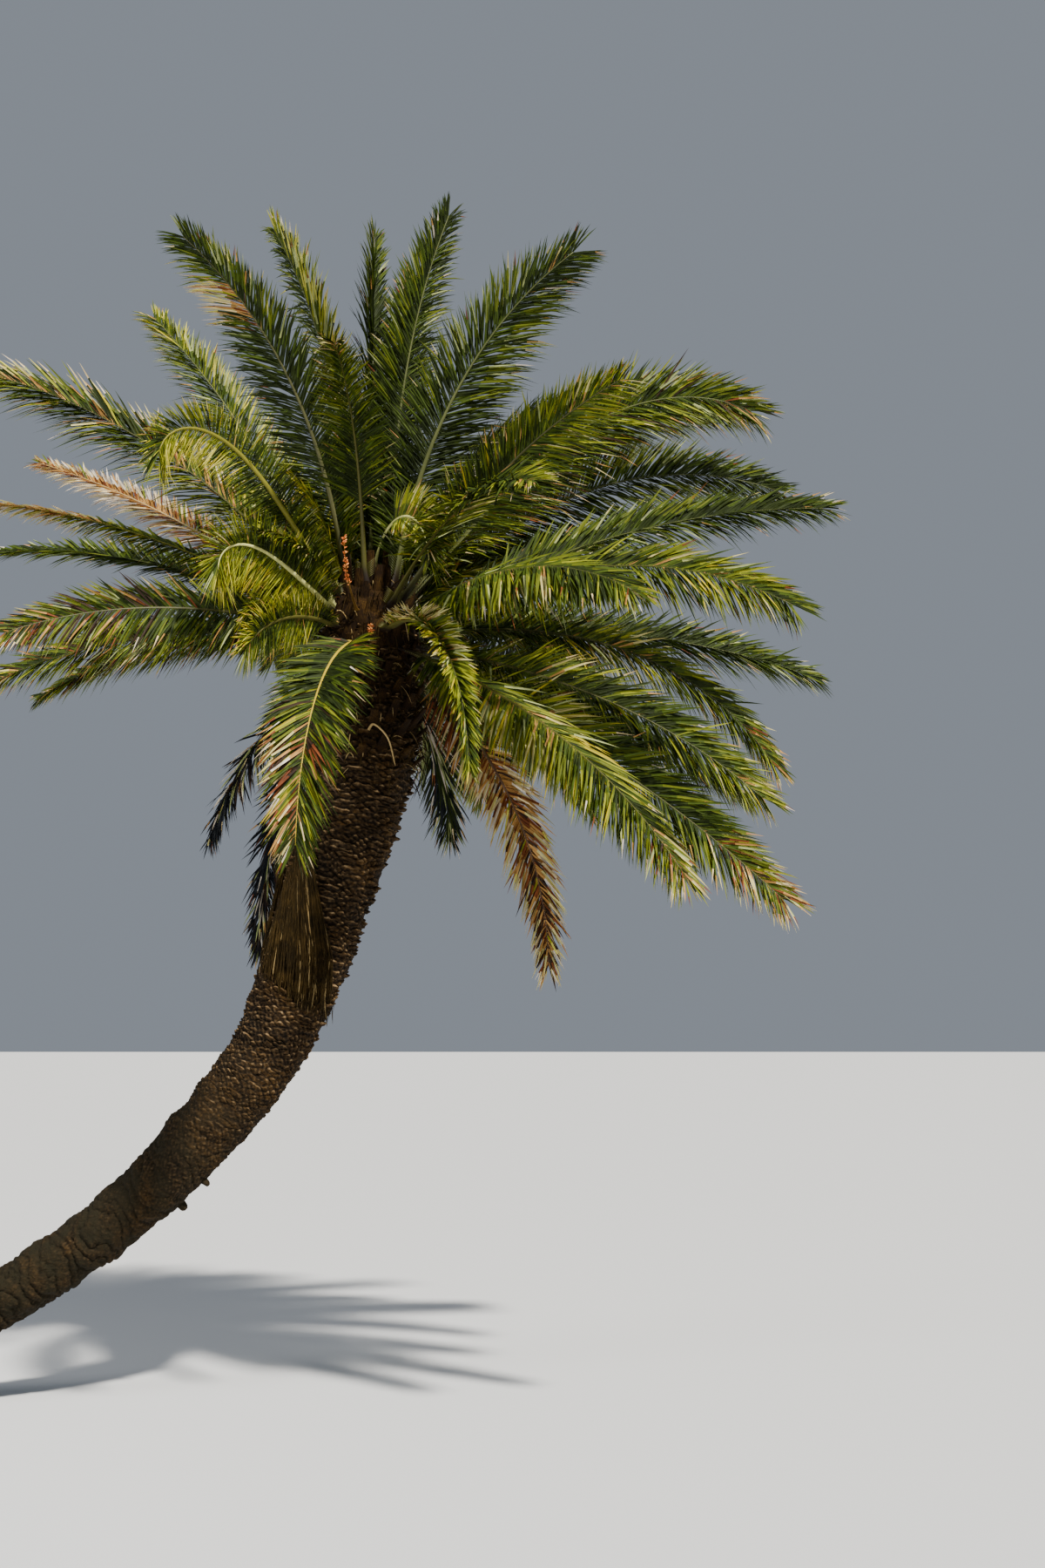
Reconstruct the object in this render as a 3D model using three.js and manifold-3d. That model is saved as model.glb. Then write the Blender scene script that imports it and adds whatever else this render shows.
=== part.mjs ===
// A date palm tree on a leaning trunk, in millimetres, with +Z up. The origin lies in the flat cut
// under the trunk, at ground level. The trunk leans towards +X and is seen side on from -Y.

import * as THREE from 'three';
import { mergeVertices } from 'three/addons/utils/BufferGeometryUtils.js';
import Module from 'manifold-3d';

const wasm = await Module();
wasm.setup();

// Driving dimensions, in millimetres and degrees.

// The trunk's axis, from below the cut to inside the crown: how far out, how high, how thick.
const TRUNK_AXIS = [
  [-600, -280, 640],
  [60, 30, 590],
  [1000, 470, 535],
  [1990, 915, 510],
  [3090, 1685, 535],
  [3880, 2515, 625],
  [4275, 3045, 650],
  [4580, 3755, 755],
  [4755, 4300, 780],
  [4975, 5050, 875],
  [5115, 5690, 900],
  [5150, 6840, 860],
];
const TRUNK_SIDES = 16;
const TRUNK_RINGS = 38;
const TRUNK_GAP = 0.3;

// The lobed mound of root flare that the trunk rises from.
const FLARE = { at: 130, length: 1000, width: 660, height: 480 };
const FLARE_LOBES = { count: 8, depth: 0.06 };
const FLARE_SIDES = 48;
const FLARE_RINGS = 5;

// Two stubs left by old cuts on the trunk's underside: place along the axis, reach and thickness.
const STUBS = [
  { at: 0.39, side: 190, reach: 70, thick: 110 },
  { at: 0.412, side: 172, reach: 60, thick: 90 },
];
const STUB_SIDES = 7;
const STUB_TAPER = 0.55;

// The head of the trunk, that carries the leaf bases.
const HEART = new THREE.Vector3(5150, 0, 6840);
const HEAD_RADIUS = 450;
const HEAD_HEIGHT = 500;
const HEAD_SIDES = 18;
const HEAD_RINGS = 12;

// Where a leaf base sits on the head: young steep fronds near its top, old ones below its middle.
const SEAT_RATE = 0.8;
const SEAT_DROP = 7;
const LOWEST_SEAT = -45;
const SEAT_DEPTH = 120;

// A frond's rib bends late: its slope follows this power of the way along it, or its own.
const BEND = 1.4;
const STATION = 170;
const FEWEST_STATIONS = 4;
const FULL_LENGTH = 3600;
const PETIOLE = 0.12;
const RIB_TAPER = 2;
const RIB_WIDTH = { base: 72, tip: 10 };
const RIB_DEPTH = { base: 38, tip: 9 };

// Leaflets: the longest one, its share of that at the foot and at the tip of the frond, where it is
// full grown, the angle to the rib at both ends, and how they fold to a V. Those of the last
// section reach past the rib's end, by about END. A dead frond's leaflets hang.
const LEAFLET = 570;
const LEAFLET_FOOT = 0.45;
const LEAFLET_END = 0.5;
const FULL_GROWN = { from: 0.35, to: 0.55 };
const LEAFLET_ANGLE = { base: 66, tip: 28 };
const END = 145;
const FOLD = 9;
const HANG = -30;

// A leaflet keeps this far from others. Where it can't, it turns about the rib, then it shortens.
const CLEAR = 2;
const TRUNK_CLEAR = 30;
const TRUNK_STEPS = 152;
const TESTED = [0.35, 0.7, 1];
const TURNS = [0, 10, -10, 20, -20, 32, -32, 45, -45];
const SIZES = [1, 0.8, 0.6, 0.42];

// Points closer than this are one point, and edges with a smaller cross product are parallel.
const SAME_POINT = 1e-3;
const PARALLEL = 1e-6;

// The block of ground that the trunk is cut off by.
const GROUND = { x: 8000, y: 4000, z: 2000 };

// Each frond: azimuth from +X towards +Y, slope where it leaves the head, slope of its tip, length
// with its end leaflets, roll of its blade about the rib, its colour, and, where it isn't like the
// rest, the fold of its leaflets, how full they are and the power of its bend.
const FRONDS = {
  right_1: [-14, 24, -5, 3950, 50, 'green'],
  right_2: [14, 57, -3, 4300, 65, 'green'],
  right_3: [0, 52, -27, 4090, 78, 'green', 9, 1.2, 2.5],
  right_4: [-45, 40, 10, 3200, -45, 'olive'],
  right_5: [22, 46, -12, 4550, 72, 'green', 9, 1.2],
  right_6: [-32, 15, -32, 4000, 50, 'olive', -8],
  right_7: [12, 7, -18, 4000, 45, 'green'],
  right_8: [-2, 6, -59, 3800, 45, 'olive', 0, 0.9],
  right_9: [28, -9, -28, 4000, 45, 'green', -20],
  right_10: [-28, -27, -43, 4350, 50, 'olive', 5],
  right_11: [-41, -23, -53, 3950, 22, 'bright', -25],
  right_12: [-68, 0, -85, 3100, 5, 'bright', 45, 0.55],
  right_13: [-62, 30, -20, 3000, 25, 'bright'],
  right_14: [-52, 12, -30, 3400, 35, 'olive', -25],
  right_15: [-15, -13, -43, 3650, 45, 'olive'],
  dead_1: [-35, -41, -89, 3380, 52, 'dead', 0, 0.7],
  dead_2: [66, -27, -82, 2100, 10, 'dead'],
  top_1: [-24, 79, 29, 3640, -58, 'green', 15, 1.2],
  top_2: [16, 90, 70, 3850, -60, 'green'],
  top_3: [95, 89, 88, 3600, 65, 'green'],
  top_4: [75, 76, 74, 3700, -20, 'green'],
  top_5: [158, 88, 60, 3900, 50, 'green'],
  top_6: [-152, 81, 35, 3640, 48, 'olive', 0, 1],
  top_7: [154, 61, 46, 3980, -50, 'green', 9, 0.9],
  top_8: [-96, 78, 10, 2500, 0, 'bright', -15],
  left_1: [-157, 45, 5, 3900, -50, 'olive', 0, 1.2],
  left_2: [-136, 49, -87, 2680, 75, 'bright', 0, 0.7, 4],
  left_3: [161, 36, 20, 3800, -50, 'dry', 9, 0.6],
  left_4: [-172, 28, 2, 3400, -40, 'olive', -15, 0.5],
  left_5: [172, 25, -3, 3480, -35, 'green', 18, 0.65],
  left_6: [-132, 28, -97, 1660, 75, 'bright', 0, 1.05, 4],
  left_7: [-149, 6, -25, 3060, -72, 'olive', -5, 0.85],
  left_8: [-172, 3, -28, 3080, -50, 'olive', 0, 0.85],
  left_9: [160, 7, -26, 3270, -50, 'olive', 0, 0.7],
  left_10: [-125, 6, -53, 1360, 70, 'bright', 0, 0.9],
  front_1: [-98, -15, -88, 3200, 0, 'bright'],
  dead_3: [155, -36, -72, 2120, -20, 'dead', 0, 0.75],
  dead_4: [132, -45, -90, 3000, 0, 'dead', 0, 0.75],
  heart_1: [-57, 105, -85, 1640, 75, 'bright', 0, 1, 0.8],
};

// The fronds behind follow the spiral in which a palm grows, from steep young ones to old ones,
// which spread less.
const BACK = { count: 16, from: 38, golden: 0.618, rise: 66, step: 5, fall: 50, lowest: -42 };
const BACK_SPREAD = { first: 110, step: -4 };
const BACK_LENGTH = { first: 3700, step: -30 };
const BACK_ROLL = 18;
for (let i = 0; i < BACK.count; i++) {
  const spread = BACK_SPREAD.first + BACK_SPREAD.step * i;
  const azimuth = BACK.from + spread * ((i * BACK.golden) % 1);
  const rise = BACK.rise - BACK.step * i;
  const tip = Math.max(rise - BACK.fall, BACK.lowest);
  const length = BACK_LENGTH.first + BACK_LENGTH.step * i;
  const roll = i % 2 ? BACK_ROLL : -BACK_ROLL;
  FRONDS['back_' + (i + 1)] = [azimuth, rise, tip, length, roll, i % 3 ? 'green' : 'olive'];
}

// Two flat orange fruit stalks in the heart, by the same measures as a frond's rib.
const FRUIT_STALKS = {
  fruit_stalk_1: [-100, 25, 85, 820, 0, 'fruit'],
  fruit_stalk_2: [-84, -8, 25, 340, 0, 'fruit'],
};

const COLOURS = {
  bark: [0x3a2c20, 0.95],
  green: [0x44521f, 0.55],
  olive: [0x66702a, 0.55],
  bright: [0x8e9a34, 0.55],
  dry: [0xb59a72, 0.75],
  dead: [0x4b3a2c, 0.85],
  fruit: [0xc2702c, 0.6],
};

const radians = THREE.MathUtils.degToRad;
const mix = THREE.MathUtils.lerp;

// Closed solids from points and triangles, and back.

function geometryOf(points, triangles) {
  const geometry = new THREE.BufferGeometry();
  const numbers = points.flatMap((point) => point.toArray());
  geometry.setAttribute('position', new THREE.Float32BufferAttribute(numbers, 3));
  geometry.setIndex(triangles.flat());
  return geometry;
}

function solidOf(geometry) {
  geometry.deleteAttribute('normal');
  geometry.deleteAttribute('uv');
  const merged = mergeVertices(geometry, SAME_POINT);
  return new wasm.Manifold(new wasm.Mesh({
    numProp: 3,
    vertProperties: Float32Array.from(merged.attributes.position.array),
    triVerts: Uint32Array.from(merged.index.array),
  }));
}

function meshOf(name, solid, colour) {
  const result = solid.getMesh();
  const geometry = new THREE.BufferGeometry();
  geometry.setAttribute('position', new THREE.BufferAttribute(new Float32Array(result.vertProperties), 3));
  geometry.setIndex(new THREE.BufferAttribute(new Uint32Array(result.triVerts), 1));
  geometry.computeVertexNormals();
  const [color, roughness] = COLOURS[colour];
  const mesh = new THREE.Mesh(geometry, new THREE.MeshStandardMaterial({ color, roughness, metalness: 0 }));
  mesh.name = name;
  return mesh;
}

// A skin over rings of as many points each, closed by a fan at both ends. A ring runs
// anticlockwise seen from the way that the rings go.
function loft(rings) {
  const sides = rings[0].length;
  const triangles = [];
  for (let i = 0; i + 1 < rings.length; i++) {
    for (let k = 0; k < sides; k++) {
      const a = i * sides + k;
      const b = i * sides + (k + 1) % sides;
      triangles.push([a, b, b + sides], [a, b + sides, a + sides]);
    }
  }
  const last = (rings.length - 1) * sides;
  for (let k = 1; k + 1 < sides; k++) {
    triangles.push([0, k + 1, k], [last, last + k, last + k + 1]);
  }
  return geometryOf(rings.flat(), triangles);
}

function ringAround(centre, across, up, radius, sides) {
  return Array.from({ length: sides }, (_, k) => {
    const turn = 2 * Math.PI * k / sides;
    return centre.clone()
      .addScaledVector(across, radius * Math.cos(turn))
      .addScaledVector(up, radius * Math.sin(turn));
  });
}

// The trunk: a round loft on its axis, the head, the flare and the stubs, cut flat at the ground.

// The spline carries the thickness as its y value, because the axis stays in the plane y = 0.
const trunkCurve = new THREE.CatmullRomCurve3(
  TRUNK_AXIS.map(([out, high, thick]) => new THREE.Vector3(out, thick, high)), false, 'centripetal');

function trunkAt(t) {
  const point = trunkCurve.getPoint(t);
  const along = trunkCurve.getTangent(t).setY(0).normalize();
  const across = new THREE.Vector3(0, 1, 0);
  return {
    centre: new THREE.Vector3(point.x, 0, point.z),
    radius: point.y / 2,
    along,
    across,
    up: along.clone().cross(across),
  };
}

function trunkSolid(grown) {
  const rings = [];
  for (let i = 0; i <= TRUNK_RINGS; i++) {
    const { centre, across, up, radius } = trunkAt(i / TRUNK_RINGS);
    rings.push(ringAround(centre, across, up, radius + grown, TRUNK_SIDES));
  }
  const head = new THREE.SphereGeometry(1, HEAD_SIDES, HEAD_RINGS);
  head.rotateX(Math.PI / 2);
  head.scale(HEAD_RADIUS + grown, HEAD_RADIUS + grown, HEAD_HEIGHT + grown);
  head.translate(HEART.x, HEART.y, HEART.z);
  return solidOf(loft(rings)).add(solidOf(head));
}

// Half of a flattened ball whose outline swells and shrinks in lobes, each a thick old root.
function flareSolid() {
  const rings = [];
  for (let i = 0; i <= FLARE_RINGS; i++) {
    const tilt = Math.PI / 2 * i / (FLARE_RINGS + 1);
    const high = FLARE.height * Math.sin(tilt);
    rings.push(Array.from({ length: FLARE_SIDES }, (_, k) => {
      const turn = 2 * Math.PI * k / FLARE_SIDES;
      const lobe = 1 + FLARE_LOBES.depth * Math.cos(FLARE_LOBES.count * turn) * Math.cos(tilt);
      const reach = lobe * Math.cos(tilt);
      const out = FLARE.at + FLARE.length * reach * Math.cos(turn);
      return new THREE.Vector3(out, FLARE.width * reach * Math.sin(turn), high);
    }));
  }
  return solidOf(loft(rings));
}

function stubSolid({ at, side, reach, thick }) {
  const { centre, up, radius, along } = trunkAt(at);
  const out = up.clone().applyAxisAngle(along, radians(side));
  const across = out.clone().cross(along);
  const ringAt = (distance, size) =>
    ringAround(centre.clone().addScaledVector(out, distance), along, across, size / 2, STUB_SIDES);
  const inner = radius / 2;
  return solidOf(loft([ringAt(inner, thick), ringAt(radius + reach, thick * STUB_TAPER)]));
}

const below = new THREE.BoxGeometry(GROUND.x, GROUND.y, GROUND.z);
below.translate(0, 0, -GROUND.z / 2);
let trunk = trunkSolid(0).add(flareSolid());
for (const stub of STUBS) {
  trunk = trunk.add(stubSolid(stub));
}
trunk = trunk.subtract(solidOf(below));
const trunkWithGap = trunkSolid(TRUNK_GAP);

// Convex pieces and the test that keeps them apart.

function convexPiece(points, faces) {
  const normals = [];
  const edges = [];
  for (const face of faces) {
    const [a, b, c] = face.map((k) => points[k]);
    normals.push(b.clone().sub(a).cross(c.clone().sub(a)).normalize());
    face.forEach((k, i) => {
      const next = face[(i + 1) % face.length];
      if (k < next) edges.push(points[next].clone().sub(points[k]).normalize());
    });
  }
  return { points, normals, edges, box: new THREE.Box3().setFromPoints(points) };
}

function span(points, axis) {
  const values = points.map((p) => p.dot(axis));
  return [Math.min(...values), Math.max(...values)];
}

// Two convex pieces are apart where their shadows on a face's normal, or on a direction square to
// an edge of each, are further apart than the gap.
function apart(a, b, gap) {
  if (!a.box.clone().expandByScalar(gap).intersectsBox(b.box)) return true;
  const separates = (axis) => {
    const [lowA, highA] = span(a.points, axis);
    const [lowB, highB] = span(b.points, axis);
    return lowB - highA > gap || lowA - highB > gap;
  };
  if (a.normals.some(separates) || b.normals.some(separates)) return true;
  for (const edgeA of a.edges) {
    for (const edgeB of b.edges) {
      const axis = edgeA.clone().cross(edgeB);
      if (axis.lengthSq() > PARALLEL && separates(axis.normalize())) return true;
    }
  }
  return false;
}

// A frond's rib: a rectangular section at each station, with its corners left and right, top and
// bottom, carried along the path that its slope gives.

function ribOf([azimuth, rise, tip, whole, roll, colour, fold = FOLD, full = 1, bend = BEND]) {
  const turn = radians(azimuth);
  const seat = radians(Math.max(SEAT_RATE * rise - SEAT_DROP, LOWEST_SEAT));
  const reach = HEAD_RADIUS * Math.cos(Math.max(seat, 0));
  const outward = new THREE.Vector3(Math.cos(turn), Math.sin(turn), 0);
  const centre = HEART.clone().addScaledVector(outward, reach);
  centre.z += HEAD_HEIGHT * Math.sin(seat);
  const slender = Math.sqrt(Math.min(whole / FULL_LENGTH, 1));
  const length = whole - END * slender;
  const count = Math.max(Math.round(length / STATION), FEWEST_STATIONS);
  const directionAt = (s) => {
    const slope = radians(mix(rise, tip, s ** bend));
    return outward.clone().multiplyScalar(Math.cos(slope)).setZ(Math.sin(slope));
  };
  const sectionAt = (s, middle) => {
    const along = directionAt(s);
    const level = new THREE.Vector3(-Math.sin(turn), Math.cos(turn), 0);
    const left = level.applyAxisAngle(along, radians(roll * Math.min(s / PETIOLE / 2, 1)));
    const up = along.clone().cross(left);
    const thin = (1 - s) ** RIB_TAPER;
    const halfWidth = mix(RIB_WIDTH.tip, RIB_WIDTH.base, thin) / 2 * slender;
    const halfDepth = mix(RIB_DEPTH.tip, RIB_DEPTH.base, thin) / 2 * slender;
    const corner = (x, y) =>
      middle.clone().addScaledVector(left, x * halfWidth).addScaledVector(up, y * halfDepth);
    return { s, along, left, up, corners: [corner(1, 1), corner(-1, 1), corner(-1, -1), corner(1, -1)] };
  };
  const stations = [sectionAt(0, centre.clone().addScaledVector(directionAt(0), -SEAT_DEPTH))];
  for (let k = 0; k < count; k++) {
    centre.addScaledVector(directionAt((k + 0.5) / count), length / count);
    stations.push(sectionAt((k + 1) / count, centre));
  }
  return { stations, count, slender, colour, full, fold: colour === 'dead' ? HANG : fold };
}

const BOX_FACES = [[3, 2, 1, 0], [4, 5, 6, 7], [0, 1, 5, 4], [1, 2, 6, 5], [2, 3, 7, 6], [3, 0, 4, 7]];
const TOOTH_FACES = [[0, 1, 2, 3], [1, 0, 4], [2, 1, 4], [3, 2, 4], [0, 3, 4]];

function ribPieces({ stations }) {
  return stations.slice(1).map((section, k) =>
    convexPiece([...stations[k].corners, ...section.corners], BOX_FACES));
}

// The tip of the leaflet that grows from one side of the rib between two stations.
function leafletTip(rib, k, side, fold, size) {
  const near = rib.stations[k];
  const far = rib.stations[k + 1];
  const s = (near.s + far.s) / 2;
  const angle = radians(mix(LEAFLET_ANGLE.base, LEAFLET_ANGLE.tip, s));
  const late = Math.max((s - FULL_GROWN.to) / (1 - FULL_GROWN.to), 0);
  const early = mix(LEAFLET_FOOT, 1, THREE.MathUtils.smoothstep(s, 0, FULL_GROWN.from));
  const length = LEAFLET * rib.slender * rib.full * early * mix(1, LEAFLET_END, late ** 2) * size;
  const corners = near.corners.concat(far.corners);
  const root = corners.reduce((sum, p) => sum.add(p), new THREE.Vector3()).divideScalar(corners.length);
  return root
    .addScaledVector(near.along, length * Math.cos(angle))
    .addScaledVector(near.left, side * length * Math.sin(angle) * Math.cos(radians(fold)))
    .addScaledVector(near.up, length * Math.sin(angle) * Math.sin(radians(fold)));
}

function clearOfTrunk(tip, root) {
  return TESTED.every((way) => {
    const point = root.clone().lerp(tip, way);
    const fromHeart = point.clone().sub(HEART);
    const head = Math.hypot(fromHeart.x, fromHeart.y, fromHeart.z * HEAD_RADIUS / HEAD_HEIGHT);
    if (head < HEAD_RADIUS + TRUNK_CLEAR) return false;
    return trunkLine.every(({ centre, radius }) => centre.distanceTo(point) > radius + TRUNK_CLEAR);
  });
}

const trunkLine = Array.from({ length: TRUNK_STEPS }, (_, i) => trunkAt(i / TRUNK_STEPS));

// All ribs come first. Then each frond's leaflets grow, pair by pair, clear of all that is there.

const ribFrom = ([name, row]) => ({ name, ...ribOf(row), teeth: new Map() });
const ribs = Object.entries(FRONDS).map(ribFrom);
const stalks = Object.entries(FRUIT_STALKS).map(ribFrom);
const taken = [...ribs, ...stalks].flatMap((rib) =>
  ribPieces(rib).map((piece) => ({ piece, rib: rib.name })));

function growLeaflet(rib, k, side) {
  const near = rib.stations[k].corners;
  const far = rib.stations[k + 1].corners;
  const root = side > 0 ? [near[0], far[0], far[3], near[3]] : [far[1], near[1], near[2], far[2]];
  const middle = root[0].clone().add(root[2]).divideScalar(2);
  for (const size of SIZES) {
    for (const turn of TURNS) {
      const tip = leafletTip(rib, k, side, rib.fold + turn, size);
      if (!clearOfTrunk(tip, middle)) continue;
      const piece = convexPiece([...root, tip], TOOTH_FACES);
      const beside = (other) => other.side === side && Math.abs(other.k - k) < 2;
      const neighbour = (other) => other.rib === rib.name && (other.k === undefined || beside(other));
      if (taken.every((other) => neighbour(other) || apart(piece, other.piece, CLEAR))) {
        taken.push({ piece, rib: rib.name, k, side });
        rib.teeth.set(side * k, tip);
        return;
      }
    }
  }
}

for (const rib of ribs) {
  const first = Math.ceil(PETIOLE * rib.count);
  for (let k = first; k < rib.count; k++) {
    growLeaflet(rib, k, 1);
    growLeaflet(rib, k, -1);
  }
}

// The frond's skin: the rib's top and bottom are plain, and each side face is either plain or
// drawn out to the tip of its leaflet.
function frondSolid({ stations, teeth }) {
  const points = stations.flatMap((station) => station.corners);
  const triangles = [];
  const quad = (a, b, c, d) => triangles.push([a, b, c], [a, c, d]);
  const face = (a, b, c, d, tip) => {
    if (!tip) return quad(a, b, c, d);
    const t = points.push(tip) - 1;
    triangles.push([a, b, t], [b, c, t], [c, d, t], [d, a, t]);
  };
  for (let k = 0; k + 1 < stations.length; k++) {
    const a = 4 * k;
    const b = 4 * (k + 1);
    quad(a, a + 1, b + 1, b);
    quad(a + 2, a + 3, b + 3, b + 2);
    face(a, b, b + 3, a + 3, teeth.get(k));
    face(a + 1, a + 2, b + 2, b + 1, teeth.get(-k));
  }
  const last = 4 * (stations.length - 1);
  quad(0, 3, 2, 1);
  quad(last, last + 1, last + 2, last + 3);
  return solidOf(geometryOf(points, triangles));
}

const palm = new THREE.Group();
palm.add(meshOf('trunk', trunk, 'bark'));
for (const rib of ribs) {
  palm.add(meshOf('frond_' + rib.name, frondSolid(rib).subtract(trunkWithGap), rib.colour));
}
for (const stalk of stalks) {
  palm.add(meshOf(stalk.name, frondSolid(stalk).subtract(trunkWithGap), stalk.colour));
}

export default palm;
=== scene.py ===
import math
from typing import NamedTuple

import bpy
import numpy as np
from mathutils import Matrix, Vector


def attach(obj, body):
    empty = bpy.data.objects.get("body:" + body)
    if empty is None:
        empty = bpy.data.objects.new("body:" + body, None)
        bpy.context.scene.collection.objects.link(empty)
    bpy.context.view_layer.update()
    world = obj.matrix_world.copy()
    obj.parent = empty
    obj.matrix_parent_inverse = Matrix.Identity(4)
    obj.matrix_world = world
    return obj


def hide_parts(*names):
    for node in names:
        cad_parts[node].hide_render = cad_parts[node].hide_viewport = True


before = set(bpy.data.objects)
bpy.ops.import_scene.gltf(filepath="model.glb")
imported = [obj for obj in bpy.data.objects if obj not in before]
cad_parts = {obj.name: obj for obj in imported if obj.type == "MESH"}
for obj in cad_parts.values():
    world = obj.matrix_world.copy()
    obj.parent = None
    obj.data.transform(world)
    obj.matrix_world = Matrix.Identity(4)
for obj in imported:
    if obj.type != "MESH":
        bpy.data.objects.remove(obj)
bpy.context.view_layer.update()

# The studio: a wide pale floor at the ground, a dim pale sky, a key lamp as far off as the sun, high
# in front and to the right, and a broad weak lamp high in front and to the left. The camera stands low
# in front and looks up a little.

FLOOR_SIDE = 400.0
FLOOR_COLOUR = (0.6, 0.61, 0.62)
FLOOR_ROUGHNESS = 0.9
EYE = (6.55, -16.4, 3.3)
EYE_LIFT = 7.46
LENS = 42.0
SENSOR = 36.0
SUN_FROM = (0.42, -0.60, 0.84)
SUN_STRENGTH = 8.6
SUN_COLOUR = (1.0, 0.95, 0.86)
SUN_SOFTNESS = 3.5
SKY_STRENGTH = 0.30
SKY_COLOUR = (0.78, 0.87, 1.0, 1)
LAMP_AT = (-7.0, -10.0, 10.0)
LAMP_TOWARDS = (4.0, 0.0, 7.5)
LAMP_SIDE = 6.0
LAMP_POWER = 1500.0


def new_object(name, data):
    made = bpy.data.objects.new(name, data)
    bpy.context.scene.collection.objects.link(made)
    return made


def plain_material(name, colour, roughness):
    material = bpy.data.materials.new(name)
    material.use_nodes = True
    shader = material.node_tree.nodes["Principled BSDF"]
    shader.inputs["Base Color"].default_value = (*colour, 1)
    shader.inputs["Roughness"].default_value = roughness
    return material


half = FLOOR_SIDE / 2
floor_mesh = bpy.data.meshes.new("floor")
floor_corners = [(-half, -half, 0), (half, -half, 0), (half, half, 0), (-half, half, 0)]
floor_mesh.from_pydata(floor_corners, [], [(0, 1, 2, 3)])
floor_mesh.materials.append(plain_material("floor", FLOOR_COLOUR, FLOOR_ROUGHNESS))
floor = new_object("floor", floor_mesh)

world = bpy.data.worlds.new("pale sky")
world.use_nodes = True
world.node_tree.nodes["Background"].inputs["Color"].default_value = SKY_COLOUR
world.node_tree.nodes["Background"].inputs["Strength"].default_value = SKY_STRENGTH
bpy.context.scene.world = world

sun = bpy.data.lights.new("sun", "SUN")
sun.energy = SUN_STRENGTH
sun.angle = math.radians(SUN_SOFTNESS)
sun.color = SUN_COLOUR
sun_object = new_object("sun", sun)
sun_object.rotation_euler = Vector(SUN_FROM).to_track_quat("Z", "Y").to_euler()

lamp = bpy.data.lights.new("lamp", "AREA")
lamp.size = LAMP_SIDE
lamp.energy = LAMP_POWER
lamp_object = new_object("lamp", lamp)
lamp_object.location = LAMP_AT
lamp_way = Vector(LAMP_AT) - Vector(LAMP_TOWARDS)
lamp_object.rotation_euler = lamp_way.to_track_quat("Z", "Y").to_euler()

camera = bpy.data.cameras.new("camera")
camera.lens = LENS
camera.sensor_width = SENSOR
camera_object = new_object("camera", camera)
camera_object.location = EYE
camera_object.rotation_euler = (math.radians(90 + EYE_LIFT), 0, 0)
bpy.context.scene.camera = camera_object

# The trunk: one leaning stem, thin where it was young and thick under the crown. Its bark is rows
# of scars that old fronds left, in two crossing spirals, worn down to cracked rings near the foot.
# It is grown, not joined, and is made here in three lengths.

TRUNK_AXIS = np.array([  # how far out, how thick and how high, along the stem
    [-0.600, 0.640, -0.280],
    [0.060, 0.590, 0.030],
    [1.000, 0.535, 0.470],
    [1.990, 0.510, 0.915],
    [3.090, 0.535, 1.685],
    [3.880, 0.625, 2.515],
    [4.275, 0.650, 3.045],
    [4.580, 0.755, 3.755],
    [4.755, 0.780, 4.300],
    [4.975, 0.875, 5.050],
    [5.115, 0.900, 5.690],
    [5.150, 0.860, 6.840],
])
TRUNK_LENGTHS = (0.40, 0.68, 1.0)
TRUNK_GRID = (440, 220)
AXIS_STEPS = 4000
SCARS_ONE_WAY = 13
SCARS_OTHER_WAY = 15
SCAR_HIGH = 0.056
SCAR_DEPTH = (0.010, 0.055)
SCAR_DRIFT = (0.42, 0.07)
CRACK_APART = 0.13
CRACK_DEPTH = 0.030
LUMP_DEPTH = 0.010
GRAIN_DEPTH = 0.003
WORN_UP_TO = 0.46
WORN_FADE = (0.16, 0.08)
WORN_LEAVES = 0.6
FRESH_BETWEEN = (0.35, 0.9)
MOSS_UPPER = 0.3
MOSS_LOWER = 0.8
MOSS_UNEVEN = 0.4


def piece(name, skin, materials, kinds=None, smooth=True, values=None):
    """A mesh object from whole arrays. Its skin is points, quads and triangles, kinds gives each face
    the number of its material, and values holds named numbers for each point that materials read."""
    points, *faces = skin
    mesh = bpy.data.meshes.new(name)
    corners = np.concatenate([f.ravel() for f in faces]).astype(np.int32)
    sides = np.concatenate([np.full(len(f), f.shape[1]) for f in faces])
    starts = np.concatenate([[0], np.cumsum(sides)[:-1]]).astype(np.int32)
    mesh.vertices.add(len(points))
    mesh.vertices.foreach_set("co", points.astype(np.float32).ravel())
    mesh.loops.add(len(corners))
    mesh.loops.foreach_set("vertex_index", corners)
    mesh.polygons.add(len(starts))
    mesh.polygons.foreach_set("loop_start", starts)
    mesh.polygons.foreach_set("use_smooth", np.full(len(starts), smooth))
    for material in materials:
        mesh.materials.append(material)
    if kinds is not None:
        mesh.polygons.foreach_set("material_index", kinds.astype(np.int32))
    for key, value in (values or {}).items():
        attribute = mesh.attributes.new(key, "FLOAT", "POINT")
        attribute.data.foreach_set("value", value.astype(np.float32).ravel())
    mesh.update(calc_edges=True)
    return new_object(name, mesh)


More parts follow.
